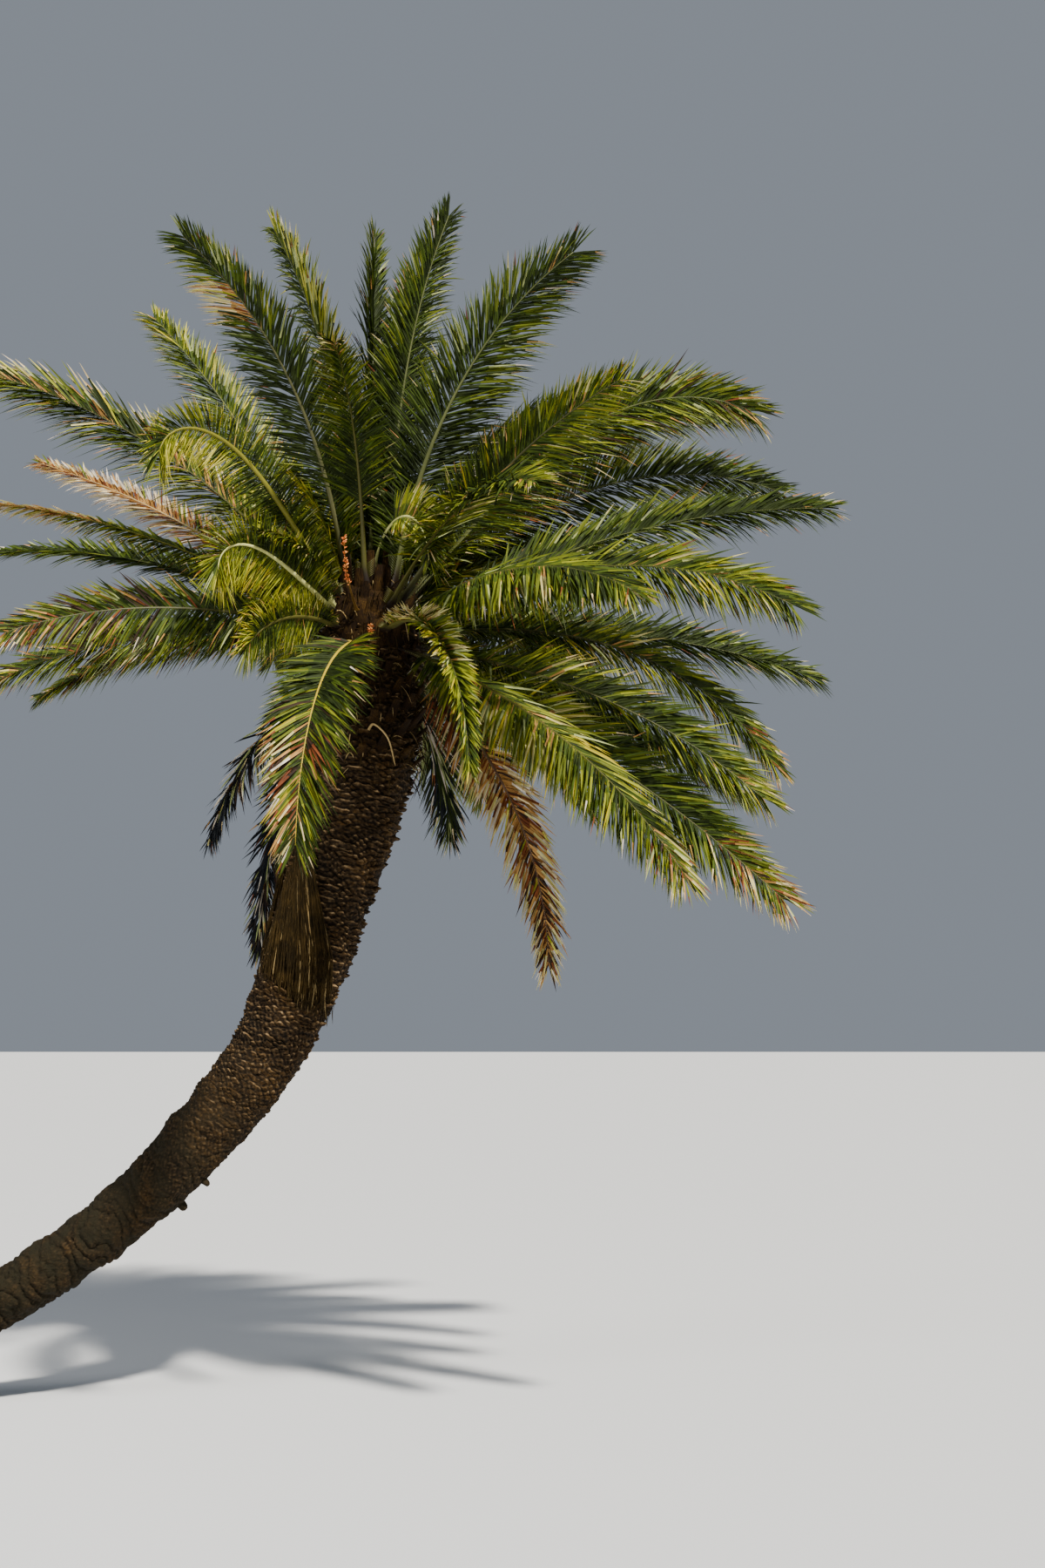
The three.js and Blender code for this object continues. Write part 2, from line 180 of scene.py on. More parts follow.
def loft(rings, tips=None):
    """Closed skins over rings of points: rings has the shape (skins, rings, sides, 3), and a ring runs
    anticlockwise seen from the way that the skin goes. A fan closes the first ring, and a fan or the
    skin's tip closes the last one. Returns the points, the quads and the triangles."""
    skins, count, sides, _ = rings.shape
    points = rings.reshape(skins, -1, 3)
    here = np.arange(sides)
    beside = (here + 1) % sides
    up = np.arange(count - 1)[:, None] * sides
    quads = np.stack([up + here, up + beside, up + beside + sides, up + here + sides], axis=-1)
    quads = quads.reshape(-1, 4)
    inner = np.arange(1, sides - 1)
    start = np.stack([0 * inner, inner + 1, inner], axis=-1)
    last = (count - 1) * sides
    if tips is None:
        end = np.stack([0 * inner + last, last + inner, last + inner + 1], axis=-1)
    else:
        points = np.concatenate([points, tips[:, None]], axis=1)
        end = np.stack([last + here, last + beside, 0 * here + count * sides], axis=-1)
    shift = (np.arange(skins) * points.shape[1])[:, None, None]
    triangles = np.concatenate([start, end])
    return points.reshape(-1, 3), (quads + shift).reshape(-1, 4), (triangles + shift).reshape(-1, 3)


def spline(points, t):
    """A smooth curve through the points, for t from 0 to 1: between two of them it is a cubic whose
    ends lean as the neighbours do, each weighed by the root of its distance."""
    p = np.vstack([2 * points[0] - points[1], points, 2 * points[-1] - points[-2]])
    at = np.clip(t, 0, 1) * (len(points) - 1)
    k = np.minimum(at.astype(int), len(points) - 2)
    w = (at - k)[:, None]
    a, b, c, d = p[k], p[k + 1], p[k + 2], p[k + 3]
    before = np.sqrt(np.linalg.norm(b - a, axis=1, keepdims=True))
    middle = np.sqrt(np.linalg.norm(c - b, axis=1, keepdims=True))
    after = np.sqrt(np.linalg.norm(d - c, axis=1, keepdims=True))
    leave = ((b - a) / before - (c - a) / (before + middle) + (c - b) / middle) * middle
    arrive = ((c - b) / middle - (d - b) / (middle + after) + (d - c) / after) * middle
    square = -3 * b + 3 * c - 2 * leave - arrive
    cube = 2 * b - 2 * c + leave + arrive
    return b + leave * w + square * w ** 2 + cube * w ** 3


def unit(v):
    return v / np.linalg.norm(v, axis=-1, keepdims=True)


def smooth_step(low, high, x):
    t = np.clip((x - low) / (high - low), 0, 1)
    return t * t * (3 - 2 * t)


def between(low, high, t):
    return low + (high - low) * t


def full_turn(count):
    """Angles spaced evenly round a full turn."""
    return 2 * math.pi * np.arange(count) / count


def chance(number, seed):
    """A steady pseudo-random value from 0 to 1 for each whole number."""
    return np.modf(np.abs(np.sin(number * 12.9898 + seed * 78.233) * 43758.5453))[0]


def ripple(turn, along, seed, waves, across, length):
    """Uneven ground on a closed band: a sum of waves, each with a whole number of crests, up to
    across, round the band, and a wavelength of about length on it. About -1 to 1."""
    rng = np.random.default_rng(seed)
    total = np.zeros(np.broadcast(turn, along).shape)
    for _ in range(waves):
        crests = rng.integers(-across, across + 1)
        pace = 2 * math.pi / (length * rng.uniform(0.7, 1.8))
        total += np.sin(crests * turn + pace * along + rng.uniform(0, 2 * math.pi))
    return total / math.sqrt(waves)


axis_share = np.linspace(0, 1, AXIS_STEPS + 1)
axis_points = spline(TRUNK_AXIS, axis_share)
axis_length = np.concatenate([[0], np.cumsum(np.linalg.norm(np.diff(axis_points[:, ::2], axis=0), axis=1))])
axis_slope = np.unwrap(np.arctan2(np.gradient(axis_points[:, 2]), np.gradient(axis_points[:, 0])))


def trunk_frame(share):
    """The stem's centre, radius, distance along it and slope, at shares of the way along its axis."""
    out, thick, high, way, slope = (
        np.interp(share, axis_share, values)
        for values in (axis_points[:, 0], axis_points[:, 1], axis_points[:, 2], axis_length, axis_slope)
    )
    return out, high, thick / 2, way, slope


def bark_relief(share, turn, way):
    """How far the bark stands out, in metres, how much of it is pale lips and how much dark gap.
    Two spirals that waver cut the bark into diamonds. Each is the stump of an old frond: it climbs to
    its upper corner and drops there, where it was cut. Towards the foot they are worn down, and rings
    of fine cracks cross them. The pale share is partly the tan lips of the scars and partly painted
    highlight on their upper edges. The dark share is painted shade in the gaps between the scars and,
    near the foot, in the cracks."""
    wide = SCAR_DRIFT[0] * ripple(turn, way, 3, 9, 9, 0.35)
    fine = SCAR_DRIFT[1] * ripple(turn, way, 5, 12, 40, 0.07)
    one = SCARS_ONE_WAY * turn / (2 * math.pi) + way / SCAR_HIGH + wide + fine
    other = SCARS_OTHER_WAY * turn / (2 * math.pi) - way / SCAR_HIGH + wide - fine
    one_cell, other_cell = np.floor(one), np.floor(other)
    one, other = one - one_cell, other - other_cell
    number = one_cell * 57 + other_cell * 113
    edge = 2 * np.minimum(np.minimum(one, 1 - one), np.minimum(other, 1 - other))
    climb = (one - other + 1) / 2
    size = 0.1 + 1.5 * chance(number, 1) ** 2
    stump = smooth_step(0, 0.4, edge) * (0.25 + 0.75 * climb) * size
    fresh = smooth_step(*FRESH_BETWEEN, share)
    worn = 1 - smooth_step(WORN_UP_TO - WORN_FADE[0], WORN_UP_TO + WORN_FADE[1], share)
    lumps = ripple(turn, way, 7, 10, 4, 0.45)
    grain = ripple(turn, way, 9, 24, 60, 0.05)
    waver = 0.5 * ripple(turn, way, 11, 10, 3, 0.5) + 0.12 * ripple(turn, way, 12, 16, 16, 0.1)
    crack = np.abs(np.sin(math.pi * (way / CRACK_APART + waver))) ** 0.5
    deep = between(*SCAR_DEPTH, fresh)
    height = deep * (stump - 0.35) * (1 - WORN_LEAVES * worn) + LUMP_DEPTH * lumps
    height = height + GRAIN_DEPTH * grain * (1 - 0.5 * worn) - CRACK_DEPTH * (1 - crack) * worn
    # Pale lips on the upper edges of the scars: partly their own tan and partly painted highlight. Dark
    # gaps: painted shade between the scars and, near the foot, in the cracks.
    lip = smooth_step(0.6, 0.85, climb) * smooth_step(0.05, 0.3, edge) * chance(number, 2) ** 1.5
    gap = 1 - smooth_step(0.0, 0.5, edge * (0.4 + size))
    gap = gap * (1 - WORN_LEAVES * worn) + (1 - crack) * worn
    return height, np.clip(lip * (0.3 + 0.7 * fresh) * (1 - worn) + 0.05 * grain, 0, 1), gap


def trunk_skin(share, turn):
    """Points on the bark: the stem's centre, plus its radius and relief along the spoke at that turn.
    Returns them with the shares of pale lips, which are partly painted highlight, of dark gap, which is
    painted shade, and of moss on the worn upper side."""
    out, high, radius, way, slope = trunk_frame(share)
    relief, lip, gap = bark_relief(share, turn, way)
    reach = radius + relief
    spoke_up = reach * np.sin(turn)
    across = reach * np.cos(turn)
    points = np.stack([out - spoke_up * np.sin(slope), across, high + spoke_up * np.cos(slope)], axis=-1)
    upper = smooth_step(-0.6, 0.9, np.sin(turn)) * (1 - smooth_step(0.35, 0.6, share))
    moss = MOSS_UPPER * upper + MOSS_LOWER * (1 - smooth_step(0.3, 0.56, share))
    moss = moss * (1 + MOSS_UNEVEN * ripple(turn, way, 13, 8, 6, 0.3))
    return points, {"lip": lip, "gap": gap, "moss": np.clip(moss, 0, 1)}


def colour(code):
    """A colour written as six hex digits, as linear red, green and blue."""
    parts = np.array([int(code[k:k + 2], 16) / 255 for k in (0, 2, 4)])
    linear = np.where(parts <= 0.04045, parts / 12.92, ((parts + 0.055) / 1.055) ** 2.4)
    return (*linear, 1.0)


class Wire:
    """One output of a material's nodes. Sums and products of wires add Math nodes."""

    def __init__(self, finish, socket):
        self.finish = finish
        self.socket = socket

    def math(self, operation, *values):
        sockets = dict(enumerate(values))
        return self.finish.node("ShaderNodeMath", {"operation": operation}, sockets)

    def __add__(self, other):
        return self.math("ADD", self, other)

    def __mul__(self, other):
        return self.math("MULTIPLY", self, other)

    def __sub__(self, other):
        return self.math("SUBTRACT", self, other)

    def __rsub__(self, other):
        return self.math("SUBTRACT", other, self)

    __radd__ = __add__
    __rmul__ = __mul__


class Finish:
    """A material in the making. Its constants go on the shader, and its patterns come as wires."""

    def __init__(self, name, **constants):
        self.material = bpy.data.materials.new(name)
        self.material.use_nodes = True
        self.tree = self.material.node_tree
        self.shader = self.tree.nodes["Principled BSDF"]
        for key, value in constants.items():
            self.shader.inputs[key.replace("_", " ")].default_value = value
        self.place = self.node("ShaderNodeTexCoord", {}, {}, "Object")

    def node(self, kind, settings, sockets, out=0):
        made = self.tree.nodes.new(kind)
        for key, value in settings.items():
            if key == "stops":
                ramp = made.color_ramp
                while len(ramp.elements) < len(value):
                    ramp.elements.new(0.5)
                for element, (position, stop) in zip(ramp.elements, value):
                    element.position = position
                    element.color = stop
            else:
                setattr(made, key, value)
        for key, value in sockets.items():
            if isinstance(value, Wire):
                self.tree.links.new(value.socket, made.inputs[key])
            else:
                made.inputs[key].default_value = value
        return Wire(self, made.outputs[out])

    def noise(self, scale, detail=3.0, place=None):
        sockets = {"Vector": place or self.place, "Scale": scale, "Detail": detail}
        return self.node("ShaderNodeTexNoise", {}, sockets)

    def value(self, name):
        return self.node("ShaderNodeAttribute", {"attribute_name": name}, {}, "Fac")

    def ramp(self, wire, *stops):
        settings = {"stops": [(at, colour(code)) for at, code in stops]}
        return self.node("ShaderNodeValToRGB", settings, {0: wire})

    def blend(self, share, first, second):
        settings = {"data_type": "RGBA"}
        return self.node("ShaderNodeMix", settings, {0: share, 6: first, 7: second}, 2)

    def bump(self, height, strength, distance):
        sockets = {"Height": height, "Strength": strength, "Distance": distance}
        self.feed("Normal", self.node("ShaderNodeBump", {}, sockets))

    def feed(self, socket, wire):
        self.tree.links.new(wire.socket, self.shader.inputs[socket])


bark = Finish("bark", Roughness=0.92, Specular_IOR_Level=0.12)
bark_grain = bark.noise(42.0, 6.0)
bark_blots = bark.noise(2.6, 4.0)
bark_tone = bark_grain * 0.6 + bark_blots * 0.5 - 0.1
bark_colour = bark.ramp(bark_tone, (0.32, "0c0803"), (0.46, "271a09"), (0.6, "402c10"), (0.8, "664a1e"))
# The gap share darkens the bark to near black: painted shade in the hollows.
bark_colour = bark.blend(bark.value("gap") * 0.9, bark_colour, colour("090502"))
# The pale tan to cream of the lips: partly their own colour and partly painted highlight.
bark_pale = bark.ramp(bark_grain, (0.3, "8a6030"), (0.7, "dcbc8c"))
bark_colour = bark.blend(bark.value("lip"), bark_colour, bark_pale)
bark_moss = bark.value("moss") * (bark.noise(9.0, 5.0) + 0.35)
bark.feed("Base Color", bark.blend(bark_moss, bark_colour, colour("1d1a0f")))
bark.feed("Roughness", 1.0 - bark_grain * 0.2)
bark.bump(bark_grain + bark.noise(120.0, 3.0) * 0.5, 0.8, 0.015)


def trunk_length(name, first, last):
    """A length of the stem between two shares of its axis. The first may differ from spoke to spoke."""
    rows, spokes = TRUNK_GRID
    turn = full_turn(spokes)[None]
    share = between(first, last, np.linspace(0, 1, rows)[:, None])
    points, values = trunk_skin(share + 0 * turn, turn + 0 * share)
    points[..., 2] = np.maximum(points[..., 2], 0)
    made = piece(name, loft(points[None]), [bark.material], values=values)
    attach(made, "root")
    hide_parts("trunk")


def share_at_ground(spokes):
    """The share of the axis at which each spoke's end comes out of the ground."""
    turn = full_turn(spokes)[None]
    _, high, radius, _, slope = trunk_frame(axis_share[:, None])
    above = high + radius * np.sin(turn) * np.cos(slope) > 0
    return axis_share[np.argmax(above, axis=0)][None]


trunk_length("trunk_lower", share_at_ground(TRUNK_GRID[1]), TRUNK_LENGTHS[0])
trunk_length("trunk_middle", TRUNK_LENGTHS[0], TRUNK_LENGTHS[1])
trunk_length("trunk_upper", TRUNK_LENGTHS[1], TRUNK_LENGTHS[2])

# The root flare: a low lobed mound of old roots, grown together, that the stem rises from. It is
# flat below, at the ground.

FLARE_AT = 0.13
FLARE_SIZE = (1.0, 0.66, 0.48)
FLARE_LOBES = 8
FLARE_LOBE_DEPTH = 0.06
FLARE_GRID = (70, 240)
ROOT_COUNT = 46
ROOT_DEPTH = 0.012
FLARE_TOP = 0.985


def flare_skin(tilt, turn):
    """Half of a flattened ball. Its outline swells in lobes, which fade towards the top, and fine
    roots run down it side by side. Returns the points and how near a root's crest each is."""
    lobe = 1 + FLARE_LOBE_DEPTH * np.cos(FLARE_LOBES * turn) * np.cos(tilt)
    reach = lobe * np.cos(tilt)
    drift = 1.2 * ripple(turn, tilt, 21, 8, 3, 2.0)
    roots = np.abs(np.sin(ROOT_COUNT / 2 * turn + drift)) ** 0.7
    rough = ripple(turn, tilt, 22, 20, 50, 0.12)
    stand = 1 - ROOT_DEPTH * (1 - roots) * 2 + 0.006 * rough
    points = np.stack([
        FLARE_AT + FLARE_SIZE[0] * reach * np.cos(turn) * stand,
        FLARE_SIZE[1] * reach * np.sin(turn) * stand,
        FLARE_SIZE[2] * np.sin(tilt) * stand,
    ], axis=-1)
    return points, np.clip(0.5 * roots + 0.15 * rough, 0, 1)


flare_turn = full_turn(FLARE_GRID[1])[None]
flare_tilt = 0.5 * math.pi * np.linspace(0, FLARE_TOP, FLARE_GRID[0])[:, None]
flare_points, flare_crest = flare_skin(flare_tilt + 0 * flare_turn, flare_turn + 0 * flare_tilt)
# On the flare the dark gap share is painted shade between the root crests, and the small pale share on the
# crests is painted highlight.
flare_values = {"lip": 0.04 * flare_crest, "gap": 0.8 * (1 - flare_crest), "moss": 0.6 + 0.4 * flare_crest}
flare = piece("root_flare", loft(flare_points[None]), [bark.material], values=flare_values)
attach(flare, "root")
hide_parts("trunk")

# Two short stubs under the stem, where old shoots were cut off. They are bark all over and taper
# to a rough knob.

STUBS = [  # share of the axis, turn round it in degrees, reach beyond the bark, thickness
    (0.390, 280, 0.070, 0.110),
    (0.412, 262, 0.060, 0.090),
]
STUB_RINGS = 14
STUB_SIDES = 24
STUB_MOSS = 0.9

for number, (at, side, reach, thick) in enumerate(STUBS, 1):
    out, high, radius, _, slope = (float(v) for v in trunk_frame(np.array(at)))
    turn = math.radians(side)
    outward = np.array([-math.sin(turn) * math.sin(slope), math.cos(turn), math.sin(turn) * math.cos(slope)])
    along = np.array([math.cos(slope), 0, math.sin(slope)])
    across = np.cross(outward, along)
    t = np.linspace(0, 1, STUB_RINGS)[:, None]
    ring = full_turn(STUB_SIDES)[None]
    knob = 0.5 * thick * (1 - 0.35 * t) * np.sqrt(1 - np.clip((t - 0.8) / 0.2, 0, 1) ** 2 * 0.75)
    knob = knob * (1 + 0.09 * ripple(ring, t, 30 + number, 9, 5, 0.4))
    distance = radius / 2 + (radius / 2 + reach) * t
    centre = np.array([out, 0, high]) + distance[..., None] * outward
    points = centre + knob[..., None] * (np.cos(ring)[..., None] * along + np.sin(ring)[..., None] * across)
    even = 0 * (ring + t)
    values = {"lip": 0.1 + 0.1 * np.sin(5 * ring + 9 * t), "gap": even, "moss": STUB_MOSS + even}
    stub = piece(f"stub_{number}", loft(points[None]), [bark.material], values=values)
    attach(stub, "root")
    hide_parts("trunk")

# A curtain of brown fibre: long strands that came loose from old leaf sheaths. They hang plumb over
# the front of the leaning stem and are matted together.

CURTAIN_STRANDS = 420
CURTAIN_KNOTS = (0, 0.62, 1)
CURTAIN_HIGH = (4.98, 3.86, 3.22)
CURTAIN_LEFT = (4.44, 4.22, 4.16)
CURTAIN_RIGHT = (4.66, 4.87, 4.84)
CURTAIN_ENDS = (0.68, 0.86, 0.98)
CURTAIN_RINGS = 15
CURTAIN_LIFT = (0.010, 0.05)
CURTAIN_WAVE = 0.035
CURTAIN_PALE = 0.05
STRAND_HALF = (0.0025, 0.0055)


def fibre_finish(name, *stops):
    """Matted plant fibre, with its threads upright: dark gaps and lighter threads, quite dull."""
    made = Finish(name, Roughness=0.95, Specular_IOR_Level=0.1)
    stretched = made.node("ShaderNodeMapping", {}, {"Vector": made.place, "Scale": (150, 150, 18)})
    threads = made.noise(1.0, 4.0, stretched)
    made.feed("Base Color", made.ramp(threads * 0.6 + made.noise(6.0, 3.0) * 0.5, *stops))
    made.bump(threads, 0.8, 0.01)
    return made.material


# The darkest fibre, on the head and the frond stumps, is darker than the curtain's: partly the fibre's own
# dark brown and partly painted shade under the crown.
fibre_dark = fibre_finish("fibre_dark", (0.35, "080502"), (0.55, "1c1106"), (0.78, "44300f"))
fibre_brown = fibre_finish("fibre_brown", (0.35, "0c0802"), (0.52, "261c08"), (0.72, "483718"))
fibre_straw = fibre_finish("fibre_straw", (0.35, "6b5430"), (0.65, "b39a68"))


def strands(paths, half):
    """Thin three-sided strands carried along paths of the shape (strands, rings, 3), each as thick as
    half says for its rings, and drawn to a point at the end. Returns points, quads and triangles."""
    along = unit(np.gradient(paths, axis=1))
    side = unit(np.cross(np.array([0.31, 0.95, 0.05]), along))
    up = np.cross(along, side)
    ring = full_turn(3)
    outward = np.cos(ring)[:, None] * side[:, :, None] + np.sin(ring)[:, None] * up[:, :, None]
    rings = paths[:, :, None] + half[..., None, None] * outward
    return loft(rings[:, :-1], paths[:, -1])


def join(parts):
    """One set of points and faces from several: each part is points, quads and triangles."""
    shifts = np.cumsum([0] + [len(points) for points, _, _ in parts[:-1]])
    points = np.concatenate([part[0] for part in parts])
    quads = np.concatenate([part[1] + shift for part, shift in zip(parts, shifts)])
    triangles = np.concatenate([part[2] + shift for part, shift in zip(parts, shifts)])
    return points, quads, triangles


def on_stem(out, high, lift):
    """Points in front of the stem's bark, for places out and up: the stem is taken as round about the
    nearest point of its axis, and a point beside it hangs at its widest."""
    place = np.stack([out, high], axis=-1)
    line = np.stack([axis_points[::20, 0], axis_points[::20, 2]], axis=-1)
    apart = np.linalg.norm(place[..., None, :] - line, axis=-1)
    nearest = np.argmin(apart, axis=-1)
    radius = axis_points[::20, 1][nearest] / 2
    beside = np.minimum(np.min(apart, axis=-1), radius)
    return np.stack([out, -np.sqrt(radius ** 2 - beside ** 2) - lift, high], axis=-1)


rng = np.random.default_rng(71)
curtain_across = rng.uniform(0, 1, CURTAIN_STRANDS)[:, None]
curtain_start = rng.uniform(0, 0.6, CURTAIN_STRANDS)[:, None] ** 2
curtain_end = np.interp(curtain_across, (0, 0.5, 1), CURTAIN_ENDS)
curtain_end = curtain_end - rng.uniform(0, 0.55, CURTAIN_STRANDS)[:, None] ** 2
curtain_way = between(curtain_start, curtain_end, np.linspace(0, 1, CURTAIN_RINGS))
curtain_left = np.interp(curtain_way, CURTAIN_KNOTS, CURTAIN_LEFT)
curtain_right = np.interp(curtain_way, CURTAIN_KNOTS, CURTAIN_RIGHT)
curtain_phase = rng.uniform(0, 2 * math.pi, CURTAIN_STRANDS)[:, None]
curtain_pace = rng.uniform(3, 9, CURTAIN_STRANDS)[:, None]
curtain_wave = CURTAIN_WAVE * curtain_way * np.sin(curtain_pace * curtain_way + curtain_phase)
curtain_paths = on_stem(
    between(curtain_left, curtain_right, curtain_across) + curtain_wave,
    np.interp(curtain_way, CURTAIN_KNOTS, CURTAIN_HIGH),
    rng.uniform(*CURTAIN_LIFT, CURTAIN_STRANDS)[:, None] + 0 * curtain_way,
)
curtain_half = rng.uniform(*STRAND_HALF, CURTAIN_STRANDS)[:, None] * (1 + 0 * curtain_way)
curtain_skin = strands(curtain_paths, curtain_half)
pale = rng.uniform(0, 1, CURTAIN_STRANDS) < CURTAIN_PALE
kinds = np.concatenate([np.repeat(pale, len(faces) // CURTAIN_STRANDS) for faces in curtain_skin[1:]])
curtain = piece("fibre_curtain", curtain_skin, [fibre_brown, fibre_straw], kinds)
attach(curtain, "root")
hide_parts("trunk")

# The head: the growing end of the stem, wrapped in dark brown fibre, with the stumps of old fronds
# standing out below the living ones and loose fibre hanging between them. The fibre of the head and
# the stumps is darkened further as painted shade under the crown.

HEART = np.array([5.150, 0, 6.840])
HEAD_RADIUS = 0.450
HEAD_HEIGHT = 0.500
HEAD_GRID = (90, 180)
STUMP_COUNT = 150
STUMP_LOW = 5.55
STUMP_HIGH = 7.28
STUMP_RISE = (38, 48)
STUMP_LENGTH = (0.13, 0.26)
STUMP_WIDTH = 0.105
STUMP_DEPTH = 0.042
STUMP_SUNK = 0.07
STUMP_SIDES = 8
GOLDEN_TURN = math.pi * (3 - math.sqrt(5))
PLUMB = np.array([0, 0, 1.0])

head_turn = full_turn(HEAD_GRID[1])[None]
head_tilt = math.pi * np.linspace(-0.495, 0.495, HEAD_GRID[0])[:, None]
head_bumps = 0.02 * ripple(head_turn, head_tilt, 41, 14, 12, 0.5)
head_reach = (1 + head_bumps) * np.cos(head_tilt)
head_points = HEART + np.stack([
    HEAD_RADIUS * head_reach * np.cos(head_turn),
    HEAD_RADIUS * head_reach * np.sin(head_turn),
    HEAD_HEIGHT * (1 + head_bumps) * np.sin(head_tilt),
], axis=-1)
head = piece("head_fibre", loft(head_points[None]), [fibre_dark])
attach(head, "root")
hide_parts("trunk")


def head_surface(high):
    """The middle and the radius of the stem, or of the head above its middle, at these heights."""
    out, _, radius, _, _ = trunk_frame(np.interp(high, axis_points[:, 2], axis_share))
    dome = HEAD_RADIUS * np.sqrt(np.clip(1 - ((high - HEART[2]) / HEAD_HEIGHT) ** 2, 0.05, 1))
    return out, np.where(high > HEART[2], dome, radius)


stump_number = np.arange(STUMP_COUNT)
stump_turn = (stump_number * GOLDEN_TURN)[:, None, None]
stump_high = STUMP_LOW + (STUMP_HIGH - STUMP_LOW) * (stump_number + 0.5) / STUMP_COUNT
stump_out, stump_radius = head_surface(stump_high)
stump_rise = np.radians(STUMP_RISE[0] + STUMP_RISE[1] * stump_number / STUMP_COUNT)[:, None, None]
stump_long = between(*STUMP_LENGTH, chance(stump_number, 3))
stump_way = np.array([0, 0.35, 0.7, 1.0])[None, :, None]
stump_spread = np.array([1.25, 1.0, 0.78, 0.62])[None, :, None]
stump_ring = full_turn(STUMP_SIDES)[None, None]
stump_flat = np.concatenate([np.cos(stump_turn), np.sin(stump_turn), 0 * stump_turn], axis=-1)
stump_side = np.concatenate([-np.sin(stump_turn), np.cos(stump_turn), 0 * stump_turn], axis=-1)
stump_along = np.cos(stump_rise) * stump_flat + np.sin(stump_rise) * PLUMB
stump_up = -np.sin(stump_rise) * stump_flat + np.cos(stump_rise) * PLUMB
stump_foot = np.stack([stump_out, 0 * stump_out, stump_high], axis=-1)[:, None]
stump_foot = stump_foot + (stump_radius[:, None, None] - STUMP_SUNK) * stump_flat
stump_centre = stump_foot + (stump_long[:, None, None] + STUMP_SUNK) * stump_way * stump_along
stump_x = STUMP_WIDTH / 2 * stump_spread * np.sign(np.cos(stump_ring)) * np.abs(np.cos(stump_ring)) ** 0.7
stump_y = STUMP_DEPTH / 2 * stump_spread * np.sin(stump_ring)
stump_rings = stump_centre[:, :, None] + stump_x[..., None] * stump_side[:, :, None]
stump_rings = stump_rings - stump_y[..., None] * stump_up[:, :, None]
stumps = piece("frond_stumps", loft(stump_rings[:, :, ::-1]), [fibre_dark], smooth=False)
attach(stumps, "root")
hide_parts("trunk")

# Loose threads of the same fibre stand and hang between the stumps and round the growing point, and
# one dead fruit stalk arches out of them in front.

THREAD_COUNT = 1300
THREAD_FOOT = (5.45, 7.30)
THREAD_DEPTH = 0.02
THREAD_LENGTH = (0.10, 0.32)
THREAD_HALF = (0.0025, 0.006)
THREAD_RINGS = 6
THREAD_PALE = 0.12
THREAD_SAG = 2.6
ARCH_POINTS = np.array([[5.18, -0.43, 5.86], [5.25, -0.58, 5.90], [5.37, -0.62, 5.78], [5.44, -0.56, 5.53]])
ARCH_HALF = 0.014
ARCH_RINGS = 24

rng = np.random.default_rng(52)
thread_turn = rng.uniform(0, 2 * math.pi, THREAD_COUNT)
thread_high = rng.uniform(*THREAD_FOOT, THREAD_COUNT)
thread_out, thread_radius = head_surface(thread_high)
thread_flat = np.stack([np.cos(thread_turn), np.sin(thread_turn), 0 * thread_turn], axis=-1)
thread_foot = np.stack([thread_out, 0 * thread_out, thread_high], axis=-1)
thread_foot = thread_foot + (thread_radius[:, None] - THREAD_DEPTH) * thread_flat
thread_way = np.linspace(0, 1, THREAD_RINGS)[None, :, None]
thread_long = rng.uniform(*THREAD_LENGTH, THREAD_COUNT)[:, None, None] * thread_way
thread_rise = rng.uniform(-0.3, 1.1, THREAD_COUNT)[:, None, None] * PLUMB
thread_lean = unit(thread_flat + rng.normal(0, 0.35, (THREAD_COUNT, 3)))[:, None]
thread_paths = thread_foot[:, None] + thread_long * (0.6 * thread_lean + thread_rise)
thread_paths = thread_paths - THREAD_SAG * thread_long ** 2 * PLUMB
thread_half = rng.uniform(*THREAD_HALF, THREAD_COUNT)[:, None] * (1 + 0 * thread_way[..., 0])
arch_path = spline(ARCH_POINTS, np.linspace(0, 1, ARCH_RINGS))[None]
arch_half = ARCH_HALF * np.linspace(1, 0.5, ARCH_RINGS)[None]
thread_skin = join([strands(thread_paths, thread_half), strands(arch_path, arch_half)])
pale = np.concatenate([rng.uniform(0, 1, THREAD_COUNT) < THREAD_PALE, [True]])
kinds = np.concatenate([
    np.repeat(pale[:-1], 3 * (THREAD_RINGS - 2)), np.repeat(pale[-1:], 3 * (ARCH_RINGS - 2)),
    np.repeat(pale, 4),
])
threads = piece("head_threads", thread_skin, [fibre_brown, fibre_straw], kinds)
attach(threads, "root")
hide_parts("trunk")

# The ribs of the fronds: a stiff stalk, grooved above and round below, wide where it clasps the
# head and as thin as a pencil at its tip. Spines stand on its foot in place of leaflets.

SEAT_RATE = 0.8
SEAT_DROP = 7
LOWEST_SEAT = -45
SEAT_DEPTH = 0.120
BEND = 1.4
PATH_STEPS = 160
FULL_LENGTH = 3.6
END = 0.145
PETIOLE = 0.12
RIB_TAPER = 2
FAN_TAPER = 0.7
RIB_WIDTH = (0.010, 0.072)
RIB_DEPTH = (0.009, 0.038)
RIB_RINGS = 40
RIB_SIDES = 10
SPINES = 9
SPINES_FROM = 0.015
SPINES_TO = 0.07
SPINE_LENGTH = 0.13
SPINE_HALF = 0.005


